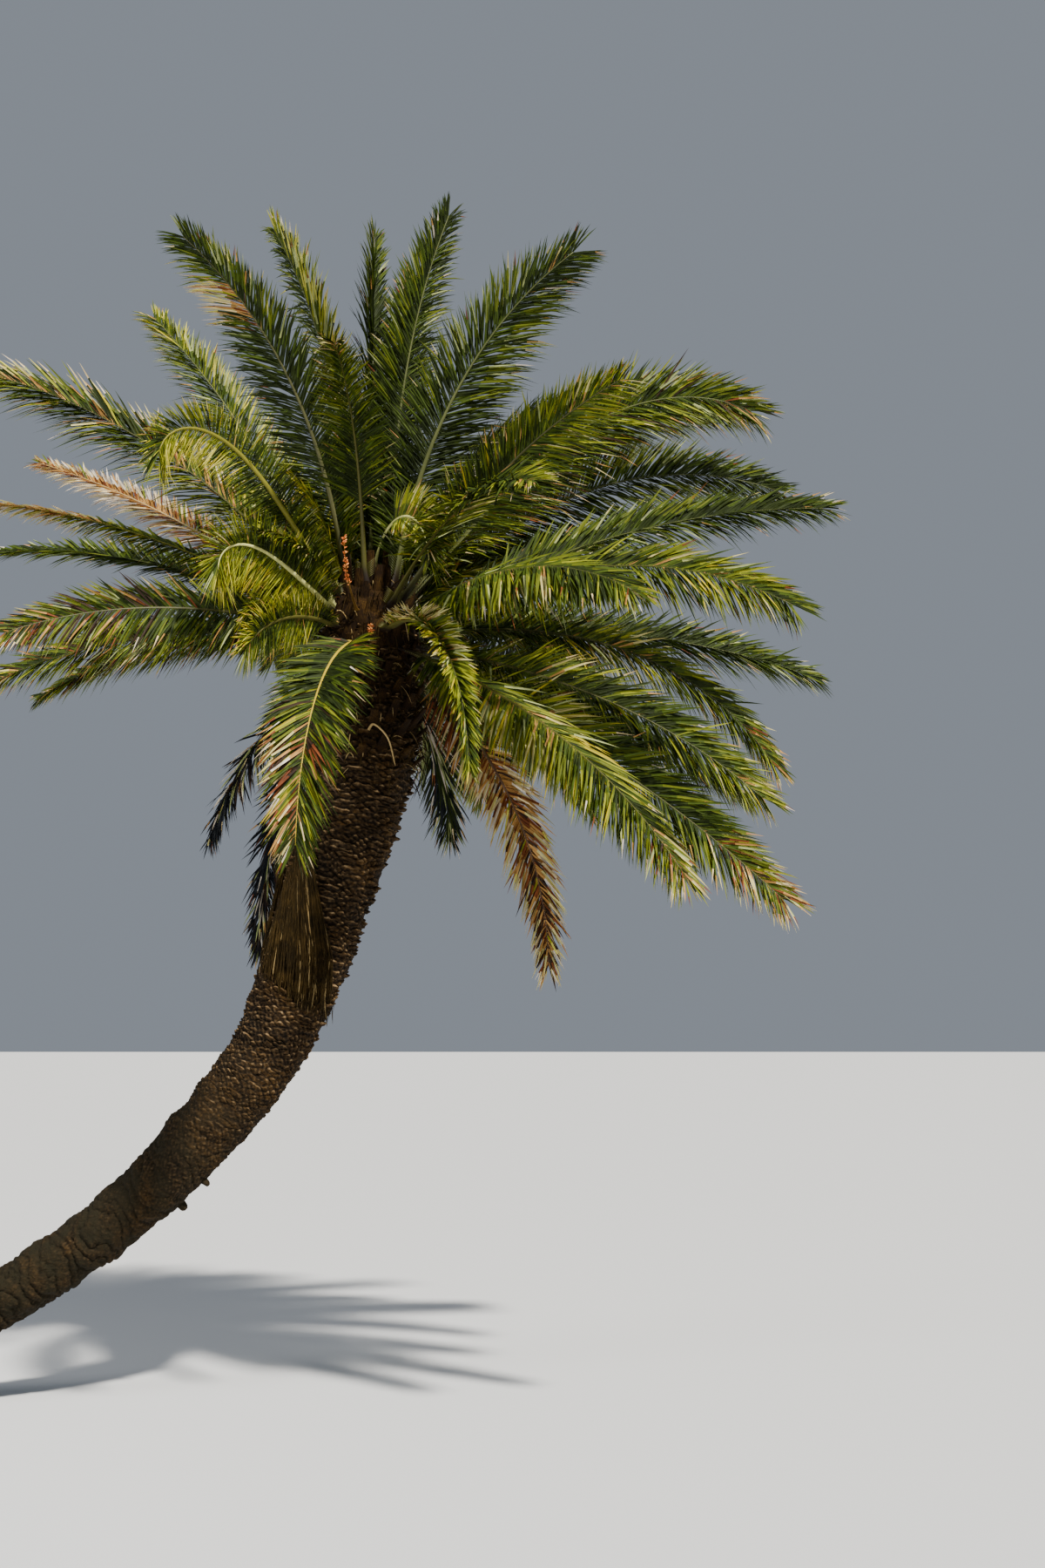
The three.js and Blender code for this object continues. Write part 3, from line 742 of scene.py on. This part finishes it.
class Frond(NamedTuple):
    """One frond: azimuth from +X towards +Y, slope where it leaves the head, slope of its tip, length
    with its end leaflets, roll of its blade about the rib, its colour, the fold of its leaflets and
    how full they are. Its look may differ from its colour's. Between patch_from and patch_to a share of
    its leaflets has another look, on both sides (0) or on one. A fan's end leaflets are long and
    spread. The first leaflet stands at the share first, and those on the right are weak times as
    long. The slope follows a power of the way along the rib, bend."""

    azimuth: float
    rise: float
    tip: float
    whole: float
    roll: float
    colour: str
    fold: float = 9
    full: float = 1.0
    look: str = ""
    patch: float = 0.04
    patch_from: float = 0.8
    patch_to: float = 1.2
    patch_side: int = 0
    fan: bool = False
    first: float = 0.07
    weak: float = 1.0
    patch_look: str = "sere"
    bend: float = BEND

    @property
    def slender(self):
        return math.sqrt(min(self.whole / FULL_LENGTH, 1))

    @property
    def length(self):
        return self.whole - END * self.slender


FRONDS = {
    "right_1": Frond(-14, 24, -5, 3.95, 50, "green", look="dark", patch=0.9, patch_from=0.93),
    "right_2": Frond(14, 57, -3, 4.3, 65, "green"),
    "right_3": Frond(
        0, 52, -27, 4.09, 78, "green", 9, 1.2, patch=0.5, patch_from=0.1, patch_look="worn", bend=2.5),
    "right_4": Frond(-45, 40, 10, 3.2, -45, "olive", first=0.3),
    "right_5": Frond(22, 46, -12, 4.55, 72, "green", 9, 1.2, look="dark"),
    "right_6": Frond(-32, 15, -32, 4.0, 50, "olive", -8),
    "right_7": Frond(12, 7, -18, 4.0, 45, "green", look="dark"),
    "right_8": Frond(-2, 6, -59, 3.8, 45, "olive", 0, 0.9, patch=0.4),
    "right_9": Frond(28, -9, -28, 4.0, 45, "green", -20, look="dark"),
    "right_10": Frond(-28, -27, -43, 4.35, 50, "olive", 5, patch_from=0.75, patch=0.45),
    "right_11": Frond(-41, -23, -53, 3.95, 22, "bright", -25, patch=0.3),
    "right_12": Frond(
        -68, 0, -85, 3.1, 5, "bright", 45, 0.55, patch=0.7, patch_from=-0.15, patch_to=0.38,
        patch_look="faded"),
    "right_13": Frond(-62, 30, -20, 3.0, 25, "bright", look="olive", first=0.24),
    "right_14": Frond(-52, 12, -30, 3.4, 35, "olive", -25),
    "right_15": Frond(-15, -13, -43, 3.65, 45, "olive"),
    "dead_1": Frond(
        -35, -41, -89, 3.38, 52, "dead", 0, 0.7, look="rusty", patch=0.45, patch_from=0.2,
        patch_look="faded"),
    "dead_2": Frond(66, -27, -82, 2.1, 10, "dead", look="withered"),
    "top_1": Frond(-24, 79, 29, 3.64, -58, "green", 15, 1.2, look="dark"),
    "top_2": Frond(16, 90, 70, 3.85, -60, "green", look="dark"),
    "top_3": Frond(95, 89, 88, 3.6, 65, "green", look="dark"),
    "top_4": Frond(75, 76, 74, 3.7, -20, "green", look="dark"),
    "top_5": Frond(
        158, 88, 60, 3.9, 50, "green", patch=0.8, patch_from=-0.2, patch_side=1, patch_look="dusty_and_sheen"),
    "top_6": Frond(
        -152, 81, 35, 3.64, 48, "olive", 0, look="dark", patch=0.95, patch_from=0.62, patch_to=0.84,
        patch_side=-1, patch_look="faded"),
    "top_7": Frond(
        154, 61, 46, 3.98, -50, "green", 9, 0.9, look="olive", patch=0.8, patch_from=-0.2, patch_side=-1,
        patch_look="dusty_and_sheen"),
    "top_8": Frond(-96, 78, 10, 2.5, 0, "bright", -15, look="green", patch=0.8, patch_from=0.88, first=0.3),
    "left_1": Frond(
        -157, 45, 5, 3.9, -50, "olive", 0, 1.2, patch=0.3, patch_from=0.2, patch_side=-1,
        patch_look="faded"),
    "left_2": Frond(
        -136, 49, -87, 2.68, 75, "bright", 0, 0.7, look="olive", fan=True, patch=0.9, patch_from=0.5,
        patch_side=-1, patch_look="lemon", bend=4),
    "left_3": Frond(161, 36, 20, 3.8, -50, "dry", 9, 0.6),
    "left_4": Frond(
        -172, 28, 2, 3.4, -40, "olive", -15, 0.5, look="bright", patch=0.9, patch_from=0.6,
        patch_look="faded"),
    "left_5": Frond(172, 25, -3, 3.48, -35, "green", 18, 0.65, look="dark"),
    "left_6": Frond(
        -132, 28, -97, 1.66, 75, "bright", 0, 1.05, look="olive", fan=True, patch=0.95, patch_from=0.0,
        patch_side=-1, patch_look="fresh", bend=4),
    "left_7": Frond(-149, 6, -25, 3.06, -72, "olive", -5, 0.85, look="worn", patch=0.3),
    "left_8": Frond(-172, 3, -28, 3.08, -50, "olive", 0, 0.85, look="worn", patch=0.3),
    "left_9": Frond(160, 7, -26, 3.27, -50, "olive", 0, 0.7, look="worn"),
    "left_10": Frond(
        -125, 6, -53, 1.36, 70, "bright", 0, 0.9, look="olive", fan=True, patch=0.6, patch_from=0.1,
        patch_side=1, patch_look="fresh"),
    "front_1": Frond(
        -98, -15, -88, 3.2, 0, "bright", look="turning", patch=0.25, patch_from=0.5, patch_side=-1),
    "dead_3": Frond(155, -36, -72, 2.12, -20, "dead", 0, 0.75, look="charred"),
    "dead_4": Frond(132, -45, -90, 3.0, 0, "dead", 0, 0.75, look="charred"),
    "heart_1": Frond(-57, 105, -85, 1.64, 75, "bright", 0, fan=True, first=0.4, weak=0.4, bend=0.8),
}

# The fronds behind follow the spiral in which a palm grows, from steep young ones to old ones,
# which spread less.
BACK_COUNT = 16
BACK_FROM = 38
BACK_SPREAD = (110, 4)
BACK_GOLDEN = 0.618
BACK_RISE = (66, 5)
BACK_FALL = 50
BACK_LOWEST = -42
BACK_LENGTH = (3.7, 0.03)
BACK_ROLL = 18
for i in range(BACK_COUNT):
    back_rise = BACK_RISE[0] - BACK_RISE[1] * i
    FRONDS[f"back_{i + 1}"] = Frond(
        azimuth=BACK_FROM + (BACK_SPREAD[0] - BACK_SPREAD[1] * i) * ((i * BACK_GOLDEN) % 1),
        rise=back_rise,
        tip=max(back_rise - BACK_FALL, BACK_LOWEST),
        whole=BACK_LENGTH[0] - BACK_LENGTH[1] * i,
        roll=BACK_ROLL if i % 2 else -BACK_ROLL,
        colour="green" if i % 3 else "olive",
    )
COLOUR_CLASSES = ("green", "olive", "bright", "dry", "dead")

# Young fronds stand round the growing point, short and close together, between the feet of the
# others. They leave room in front for the arched one.
YOUNG_COUNT = 36
YOUNG_RISE = (86, 1.9)
YOUNG_TIP = (60, 3.5)
YOUNG_LENGTH = (1.35, 0.01)
YOUNG_ROLL = 30
# The young fronds' bright and fresh looks are partly their own yellow-green and partly painted light for the
# sun in the heart of the crown.
YOUNG_LOOKS = ("bright", "fresh", "bright")
ARCH_AZIMUTH = -60
ARCH_ROOM = 60
YOUNG = {}
for i in range(YOUNG_COUNT):
    young_azimuth = math.degrees(i * GOLDEN_TURN) % 360
    if abs((young_azimuth - ARCH_AZIMUTH + 180) % 360 - 180) > ARCH_ROOM:
        YOUNG[f"young_{i + 1}"] = Frond(
            azimuth=young_azimuth,
            rise=YOUNG_RISE[0] - YOUNG_RISE[1] * i,
            tip=YOUNG_TIP[0] - YOUNG_TIP[1] * i,
            whole=YOUNG_LENGTH[0] - YOUNG_LENGTH[1] * i,
            roll=YOUNG_ROLL if i % 2 else -YOUNG_ROLL,
            colour="green",
            look=YOUNG_LOOKS[i % 3],
        )


def rib_at(row, s):
    """The middle of a frond's rib at shares s of its length, and the directions along it, to its left
    and up from it. The slope goes from rise to tip with the share to a power, and the path is the
    running sum of steps at that slope. A share below 0 is inside the head."""
    rise, length = row.rise, row.length
    turn = math.radians(row.azimuth)
    flat = np.array([math.cos(turn), math.sin(turn), 0])
    level = np.array([-math.sin(turn), math.cos(turn), 0])

    def heading(share):
        slope = np.radians(between(rise, row.tip, np.clip(share, 0, 1) ** row.bend))[:, None]
        return np.cos(slope) * flat + np.sin(slope) * PLUMB

    seat = math.radians(max(SEAT_RATE * rise - SEAT_DROP, LOWEST_SEAT))
    seat_high = np.array([0, 0, HEAD_HEIGHT * math.sin(seat)])
    foot = HEART + HEAD_RADIUS * math.cos(max(seat, 0)) * flat + seat_high
    steps = heading((np.arange(PATH_STEPS) + 0.5) / PATH_STEPS) * length / PATH_STEPS
    path = np.vstack([foot, foot + np.cumsum(steps, axis=0)])
    knots = np.linspace(0, 1, PATH_STEPS + 1)
    middle = np.stack([np.interp(s, knots, path[:, k]) for k in range(3)], axis=-1)
    along = heading(s)
    middle = middle + np.minimum(s, 0)[:, None] * length * along
    twist = np.radians(row.roll * np.clip(s / PETIOLE / 2, 0, 1))[:, None]
    left = np.cos(twist) * level + np.sin(twist) * np.cross(along, level)
    return middle, along, left, np.cross(along, left)


def rib_size(row, s):
    """Half the rib's width and depth at shares s: thick at the foot, where it also flares to a clasp."""
    slender = row.slender
    thin = (1 - np.clip(s, 0, 1)) ** (FAN_TAPER if row.fan else RIB_TAPER)
    clasp = 1 + 0.9 * (1 - smooth_step(-0.02, 0.06, s))
    width = between(*RIB_WIDTH, thin) / 2 * slender * clasp
    return width, between(*RIB_DEPTH, thin) / 2 * slender


def rib_stations(row):
    """Where a rib's rings stand: the first inside the head, the others closer together at its foot."""
    return np.concatenate([[-SEAT_DEPTH / row.length], np.linspace(0, 1, RIB_RINGS - 1) ** 1.15])


def rib_rings(row):
    """Rings of a rounded section, flat above, carried along the rib."""
    s = rib_stations(row)
    middle, _, left, up = rib_at(row, s)
    width, depth = rib_size(row, s)
    ring = 2 * math.pi * (np.arange(RIB_SIDES) + 0.5) / RIB_SIDES
    x = width[:, None] * np.cos(ring)
    y = depth[:, None] * np.where(np.sin(ring) > 0, 0.75, 1.15) * np.sin(ring)
    rings = middle[:, None] + x[..., None] * left[:, None] + y[..., None] * up[:, None]
    return rings[:, ::-1]


def spine_rings(row):
    """Stiff spines on both sides of the foot: thin four-sided pyramids, longer up the rib."""
    n = 2 * SPINES
    side = np.where(np.arange(n) % 2, 1.0, -1.0)[:, None]
    s = SPINES_FROM + (SPINES_TO - SPINES_FROM) * (np.arange(n) // 2 + 0.5) / SPINES
    middle, along, left, up = rib_at(row, s)
    width, _ = rib_size(row, s)
    root = middle + side * left * width[:, None] * 0.8
    ahead = unit(0.75 * along + side * left + 0.25 * up)
    long = SPINE_LENGTH * (0.4 + 0.6 * s / SPINES_TO)[:, None]
    corner = np.array([[1, 1], [-1, 1], [-1, -1], [1, -1]]) * SPINE_HALF
    across = unit(np.cross(ahead, up))
    other = np.cross(across, ahead)
    ring = root[:, None] + corner[None, :, :1] * across[:, None] + corner[None, :, 1:] * other[:, None]
    return ring[:, None][:, :, ::-1], root + ahead * long


def rib_finish(name, dark, light):
    """A smooth fibrous stalk: long pale streaks on a duller ground, brown and fibrous at its foot."""
    made = Finish(name, Roughness=0.5, Specular_IOR_Level=0.3)
    streaks = made.noise(90.0, 2.0)
    blots = made.noise(5.0, 2.0)
    stalk = made.blend(streaks * 0.5 + blots * 0.5, colour(dark), colour(light))
    made.feed("Base Color", made.blend(made.value("foot"), stalk, colour(RIB_FOOT_COLOUR)))
    made.feed("Roughness", streaks * 0.3 + 0.35)
    made.bump(streaks, 0.3, 0.003)
    return made.material


RIB_FOOT = (0.02, 0.09)
RIB_FOOT_COLOUR = "1c120a"
RIB_COLOURS = {
    "green": ("252e0f", "666a38"),
    "olive": ("282c0e", "525026"),
    "bright": ("2e300b", "5a561e"),
    "dry": ("7a6540", "b8a474"),
    "dead": ("33231a", "6b4e38"),
    "yellow": ("8c7412", "c2aa34"),
    # The pale rib, of heart_1 and left_6, is lighter than the stalk's own colour: painted light for the sun
    # on it.
    "pale": ("a4a44e", "e2e296"),
    "lime": ("4e5010", "8c8626"),
}
SHOWN_RIBS = {"front_1": "yellow", "heart_1": "pale", "left_2": "lime", "left_4": "lime", "left_6": "pale"}


def ribs_of(name, rows, nodes, colours):
    """One piece of the ribs and spines of several fronds, in place of the nodes named."""
    stalks = loft(np.stack([rib_rings(row) for row in rows]))
    spines = [loft(*spine_rings(row)) for row in rows]
    skin = join([stalks] + spines)
    foot = np.zeros(len(skin[0]))
    browned = 1 - smooth_step(*RIB_FOOT, rib_stations(rows[0]))
    foot[:len(stalks[0])] = np.tile(np.repeat(browned, RIB_SIDES), len(rows))
    ribs = piece(name, skin, [rib_finish(name, *colours)], values={"foot": foot})
    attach(ribs, "root")
    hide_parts(*nodes)


for name in COLOUR_CLASSES:
    rows = {key: row for key, row in FRONDS.items() if row.colour == name and key not in SHOWN_RIBS}
    nodes = [f"frond_{key}" for key in rows]
    ribs_of(f"ribs_{name}", list(rows.values()), nodes, RIB_COLOURS[name])
for key, colours in SHOWN_RIBS.items():
    ribs_of(f"rib_{key}", [FRONDS[key]], [f"frond_{key}"], RIB_COLOURS[colours])
ribs_of("ribs_young", list(YOUNG.values()), ["frond_heart_1"], RIB_COLOURS["olive"])

# The leaflets: two rows of narrow stiff blades on each rib, folded to a V along their middle,
# long in the middle of the frond and short at its ends. They grow from the rib's upper edges.

LEAFLET = 0.57
LEAFLET_FOOT = 0.45
LEAFLET_END = 0.5
FULL_GROWN = (0.35, 0.55)
LEAFLET_ANGLE = (66, 28)
FAN_END = 0.9
FAN_ANGLE = 74
FAN_CLOSES = 0.6
LEAFLET_GAP = 0.0096
LEAFLET_WIDTH = 0.021
FAN_GAP = 0.6
FAN_WIDTH = 0.7
LEAFLET_THICK = 0.004
LEAFLET_AT = np.array([0.0, 0.3, 0.7])
LEAFLET_BROAD = np.array([0.5, 1.0, 0.75])
KEEL = 0.42
HANG = -30
SAG = 0.15
TWIST = 34
ANGLE_VARIES = 6
FOLD_VARIES = 12
TWIST_VARIES = 20
LENGTH_VARIES = (0.88, 1.03)
SAG_VARIES = (0.3, 1.8)
DEAD_TANGLE = 34
DEAD_SAG = 1.5
FRONDS_IN_PIECE = 11
SEED_STEP = 1000
YOUNG_SEED = 7000
KINDS_SEED = 500

# The light grey-green, straw, whitish and pale kinds are the own colours of pale-sided and dry leaflets.
# Scattered thinly among green and dead leaflets they are painted glints of sun and sky on waxy blades.
LEAF_COLOURS = {
    "deep": ("1a2308", "27310c"),
    "green": ("2e3c0c", "3f4e10"),
    "olive": ("4a5410", "5f6614"),
    "lime": ("707616", "86881c"),
    "gold": ("968a18", "b29e26"),
    "lemon": ("a29c34", "beb650"),
    "dusty_and_sheen": ("727a4a", "9ca468"),
    "straw_and_glint": ("9e9250", "c0b67a"),
    "tan": ("8c6430", "ac8248"),
    "pale": ("b09a6c", "d0bc8e"),
    "ash_and_glint": ("a49680", "d0c6b6"),
    "rust": ("562a12", "743e1e"),
    "brown": ("20150e", "38261a"),
    "black": ("0d0f12", "1d2126"),
}
# In the looks of green fronds and of dead ones, the small shares of the light grey-green, straw, whitish and
# pale kinds are painted glints. In the dry looks the light kinds are the leaflets' own colours.
LEAF_SHARES = {
    "dark": {"deep": 0.40, "green": 0.38, "olive": 0.17, "dusty_and_sheen": 0.05},
    "green": {"deep": 0.25, "green": 0.36, "olive": 0.27, "lime": 0.07, "dusty_and_sheen": 0.05},
    # A light grey-green side: partly the leaflets' own pale side and partly painted sheen, which lightens
    # the side turned from the sun.
    "dusty_and_sheen": {"green": 0.10, "olive": 0.16, "lime": 0.10, "dusty_and_sheen": 0.38, "lemon": 0.26},
    "olive": {
        "deep": 0.16, "green": 0.28, "olive": 0.33, "lime": 0.14,
        "gold": 0.02, "dusty_and_sheen": 0.04, "straw_and_glint": 0.03},
    "bright": {
        "deep": 0.09, "green": 0.20, "olive": 0.31, "lime": 0.24,
        "gold": 0.06, "dusty_and_sheen": 0.06, "straw_and_glint": 0.04},
    # The fresh look is partly young leaflets' own yellow-green and partly painted light: its light kinds
    # stand in for sun in the heart of the crown.
    "fresh": {"olive": 0.22, "lime": 0.38, "gold": 0.16, "lemon": 0.24},
    "lemon": {"olive": 0.10, "lime": 0.34, "gold": 0.14, "lemon": 0.42},
    "faded": {"straw_and_glint": 0.46, "pale": 0.18, "lemon": 0.12, "ash_and_glint": 0.12, "tan": 0.12},
    "sere": {"straw_and_glint": 0.26, "tan": 0.34, "pale": 0.12, "ash_and_glint": 0.10, "rust": 0.18},
    "turning": {
        "deep": 0.32, "green": 0.31, "olive": 0.19, "lime": 0.08,
        "gold": 0.02, "brown": 0.05, "rust": 0.03},
    "dry": {"olive": 0.06, "rust": 0.10, "tan": 0.22, "straw_and_glint": 0.10, "pale": 0.22, "ash_and_glint": 0.30},
    "dead": {"brown": 0.55, "rust": 0.33, "tan": 0.12},
    "rusty": {"brown": 0.24, "rust": 0.38, "tan": 0.20, "pale": 0.08, "ash_and_glint": 0.10},
    "worn": {
        "deep": 0.18, "green": 0.20, "olive": 0.32, "lime": 0.08,
        "tan": 0.05, "brown": 0.12, "dusty_and_sheen": 0.05},
    "withered": {"black": 0.3, "deep": 0.40, "dusty_and_sheen": 0.20, "ash_and_glint": 0.10},
    # The look of dead_3 and dead_4: mostly near-black grey leaflets, with a few painted glints.
    "charred": {"black": 0.76, "brown": 0.12, "dusty_and_sheen": 0.06, "ash_and_glint": 0.06},
}
# Each kind's darker kind, for the feet of the leaflets. For green kinds this is painted shade near the rib,
# where the inside of the frond lies in shade. For dry kinds it is the browner core that dry leaflets have
# near the rib.
FEET_SHADE_AND_BROWN = {
    "lime": "olive", "olive": "green", "green": "deep", "gold": "lime", "lemon": "lime", "dusty_and_sheen": "green",
    "ash_and_glint": "tan", "pale": "tan", "straw_and_glint": "tan", "tan": "rust", "rust": "brown",
}
BROWN_TIPS = 0.07
PATCH_FADE = 0.2
PATCH_TIPS = 1.7
PATCH_WHOLE = 0.9
PATCH_OTHER_SIDE = 0.1


def leaf_finish(name, dark, light):
    """A waxy blade: two close tones in soft patches, and a fine uneven gloss."""
    made = Finish(f"leaf_{name}", Roughness=0.45, Specular_IOR_Level=0.13)
    patches = made.ramp(made.noise(7.0, 3.0), (0.35, "000000"), (0.65, "ffffff"))
    made.feed("Base Color", made.blend(patches, colour(dark), colour(light)))
    made.feed("Roughness", made.noise(60.0, 2.0) * 0.4 + 0.42)
    return made.material


leaf_materials = {name: leaf_finish(name, *tones) for name, tones in LEAF_COLOURS.items()}


def leaflet_rings(row, seed):
    """The leaflets of one frond. Each is a blade along a line that leaves the rib at an angle, lifted
    by the fold and bent down by its weight with the square of the way along it. Its section is a thin
    V of four points: two edges, and the keel above and below. Returns rings, tips, rib shares and the
    side of the rib, 1 for its left."""
    rng = np.random.default_rng(seed)
    dead = row.colour == "dead"
    first = PETIOLE if dead else row.first
    gap = LEAFLET_GAP * (FAN_GAP if row.fan else 1)
    broadest = LEAFLET_WIDTH * (FAN_WIDTH if row.fan else 1)
    pairs = int(row.length * (1 - first) / gap)
    n = 2 * pairs
    side = np.where(np.arange(n) % 2, 1.0, -1.0)[:, None]
    s = first + (1 - first) * (np.arange(n) // 2 + rng.uniform(0.1, 0.9, n)) / pairs
    middle, along, left, up = rib_at(row, s)
    width, depth = rib_size(row, s)
    spread = between(*LEAFLET_ANGLE, s)
    end_size = LEAFLET_END
    if row.fan:
        spread = FAN_ANGLE * (1 - FAN_CLOSES * s ** 4)
        end_size = FAN_END
    angle = np.radians(spread + rng.normal(0, ANGLE_VARIES, n))[:, None]
    early = between(LEAFLET_FOOT, 1, smooth_step(0, FULL_GROWN[0], s))
    late = np.maximum((s - FULL_GROWN[1]) / (1 - FULL_GROWN[1]), 0)
    swell = early * (1 - (1 - end_size) * late ** 2)
    long = (LEAFLET * row.slender * row.full * swell * rng.uniform(*LENGTH_VARIES, n))[:, None]
    long = long * np.where(side > 0, 1, row.weak)
    rest = HANG if dead else row.fold
    fold = np.radians(rest + rng.normal(0, DEAD_TANGLE if dead else FOLD_VARIES, n))[:, None]
    ahead = np.cos(angle) * along + np.sin(angle) * (side * np.cos(fold) * left + np.sin(fold) * up)
    root = middle + 0.7 * side * width[:, None] * left + 0.4 * depth[:, None] * up
    face = unit(up - np.sum(up * ahead, axis=1, keepdims=True) * ahead)
    broad = np.cross(ahead, face)
    twist = np.radians(-side[:, 0] * TWIST + rng.normal(0, TWIST_VARIES, n))[:, None]
    broad, face = np.cos(twist) * broad + np.sin(twist) * face, np.cos(twist) * face - np.sin(twist) * broad
    sag = (SAG * rng.uniform(*SAG_VARIES, n) * (DEAD_SAG if dead else 1))[:, None]

    def line(t):
        return root + long * (t * ahead - sag * t ** 2 * PLUMB)

    rings = []
    for t, share in zip(LEAFLET_AT, LEAFLET_BROAD):
        half = broadest / 2 * share * (0.6 + 0.4 * swell[:, None])
        centre = line(t)
        raised = KEEL * half * face
        thick = LEAFLET_THICK / 2 * share * face
        rings.append(np.stack([
            centre - half * broad + raised, centre + thick, centre + half * broad + raised, centre - thick,
        ], axis=1))
    return np.stack(rings, axis=1), line(1.0), s, side[:, 0]


def dealt(look, order):
    """The material numbers that the shares of a look give to an order from 0 to 1."""
    shares = LEAF_SHARES[look]
    bounds = np.cumsum(list(shares.values()))
    places = np.array([list(LEAF_COLOURS).index(key) for key in shares])
    return places[np.searchsorted(bounds, order * bounds[-1], "right")]


def leaf_kinds(row, s, side, seed):
    """The material numbers of each leaflet at its foot, in its middle and at its tip. They are dealt
    out by runs along the rib, with some leaflets out of turn, by the shares of the frond's look. Feet
    are a shade darker: on green leaflets this is painted shade near the rib, and on dry ones their own
    browner core. The patch's look comes to more tips than whole leaflets, and a few tips are
    dry everywhere."""
    rng = np.random.default_rng(seed)
    n = len(s)
    wave = np.sin(9 * s + rng.uniform(0, 6)) + rng.normal(0, 1.3, n)
    kinds = dealt(row.look or row.colour, np.argsort(np.argsort(wave)) / n)
    other = dealt(row.patch_look, rng.uniform(0, 1, n))
    share = row.patch * smooth_step(row.patch_from, row.patch_from + PATCH_FADE, s) * (s < row.patch_to)
    share = share * np.where(row.patch_side * side < 0, PATCH_OTHER_SIDE, 1)
    tips = np.where(rng.uniform(0, 1, n) < PATCH_TIPS * share, other, kinds)
    tips = np.where(rng.uniform(0, 1, n) < BROWN_TIPS, dealt("sere", rng.uniform(0, 1, n)), tips)
    kinds = np.where(rng.uniform(0, 1, n) < PATCH_WHOLE * share, other, kinds)
    names = list(LEAF_COLOURS)
    # Feet: painted shade on green leaflets, a browner core on dry ones.
    darker = np.array([names.index(FEET_SHADE_AND_BROWN.get(key, key)) for key in names])
    return darker[kinds], kinds, tips


def leaflets_of(name, rows, nodes, seed):
    """One piece of the leaflets of several fronds, in place of the nodes named."""
    parts = []
    quad_kinds = []
    triangle_kinds = []
    for row_number, row in enumerate(rows):
        rings, tips, s, side = leaflet_rings(row, seed + row_number)
        parts.append(loft(rings, tips))
        foot, middle, tip = leaf_kinds(row, s, side, seed + KINDS_SEED + row_number)
        quad_kinds.append(np.repeat(np.stack([foot, middle], axis=1), 4, axis=1).ravel())
        triangle_kinds.append(np.repeat(np.stack([foot, tip, tip], axis=1), 2, axis=1).ravel())
    kinds = np.concatenate(quad_kinds + triangle_kinds)
    leaflets = piece(name, join(parts), list(leaf_materials.values()), kinds, smooth=False)
    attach(leaflets, "root")
    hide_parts(*nodes)


for number, name in enumerate(COLOUR_CLASSES):
    keys = [key for key, row in FRONDS.items() if row.colour == name]
    for start in range(0, len(keys), FRONDS_IN_PIECE):
        batch = keys[start:start + FRONDS_IN_PIECE]
        leaflets_of(
            f"leaflets_{name}_{start // FRONDS_IN_PIECE + 1}", [FRONDS[key] for key in batch],
            [f"frond_{key}" for key in batch], SEED_STEP * number + start)
leaflets_of("leaflets_young", YOUNG.values(), ["frond_heart_1"], YOUNG_SEED)

# Two orange fruit stalks in the heart of the crown. Each is a stiff stalk with many short sprigs that
# stand out all round it and still hold a few dry orange fruits.

FRUIT_STALKS = {
    "fruit_stalk_1": Frond(-100, 25, 85, 0.82, 0, "fruit"),
    "fruit_stalk_2": Frond(-84, -8, 25, 0.34, 0, "fruit"),
}
SPRIGS_PER_METRE = 110
SPRIGS_FROM = 0.42
SPRIG_LENGTH = (0.015, 0.05)
SPRIG_HALF = 0.006
SPRIG_SAG = 1.5
SPRIG_RINGS = 4

orange = Finish("fruit_orange", Roughness=0.5)
orange_tone = orange.ramp(orange.noise(22.0, 3.0), (0.35, "8e3c0a"), (0.5, "c8641a"), (0.66, "e8a65c"))
orange.feed("Base Color", orange_tone)
stalk_brown = fibre_finish("fruit_stalk", (0.35, "3a2a0e"), (0.65, "6a4e20"))

for number, (name, row) in enumerate(FRUIT_STALKS.items()):
    rng = np.random.default_rng(90 + number)
    n = int(SPRIGS_PER_METRE * row.length)
    s = rng.uniform(SPRIGS_FROM, 1.0, n)
    middle, along, left, up = rib_at(row, s)
    turn = rng.uniform(0, 2 * math.pi, n)[:, None]
    ahead = unit(0.8 * along + np.cos(turn) * left + np.sin(turn) * up)
    way = np.linspace(0, 1, SPRIG_RINGS)[None, :, None]
    long = rng.uniform(*SPRIG_LENGTH, n)[:, None, None] * way
    sprigs = middle[:, None] + long * ahead[:, None] - SPRIG_SAG * long ** 2 * PLUMB
    sprig_half = SPRIG_HALF * np.array([0.5, 0.7, 1.2, 1.0])[None] * rng.uniform(0.6, 1.4, n)[:, None]
    stalk = loft(rib_rings(row)[None])
    points, quads, triangles = join([stalk, strands(sprigs, sprig_half)])
    kinds = np.ones(len(quads) + len(triangles))
    kinds[:len(stalk[1])] = 0
    kinds[len(quads):len(quads) + len(stalk[2])] = 0
    fruit = piece(name, (points, quads, triangles), [stalk_brown, orange.material], kinds)
    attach(fruit, "root")
    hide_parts(name)
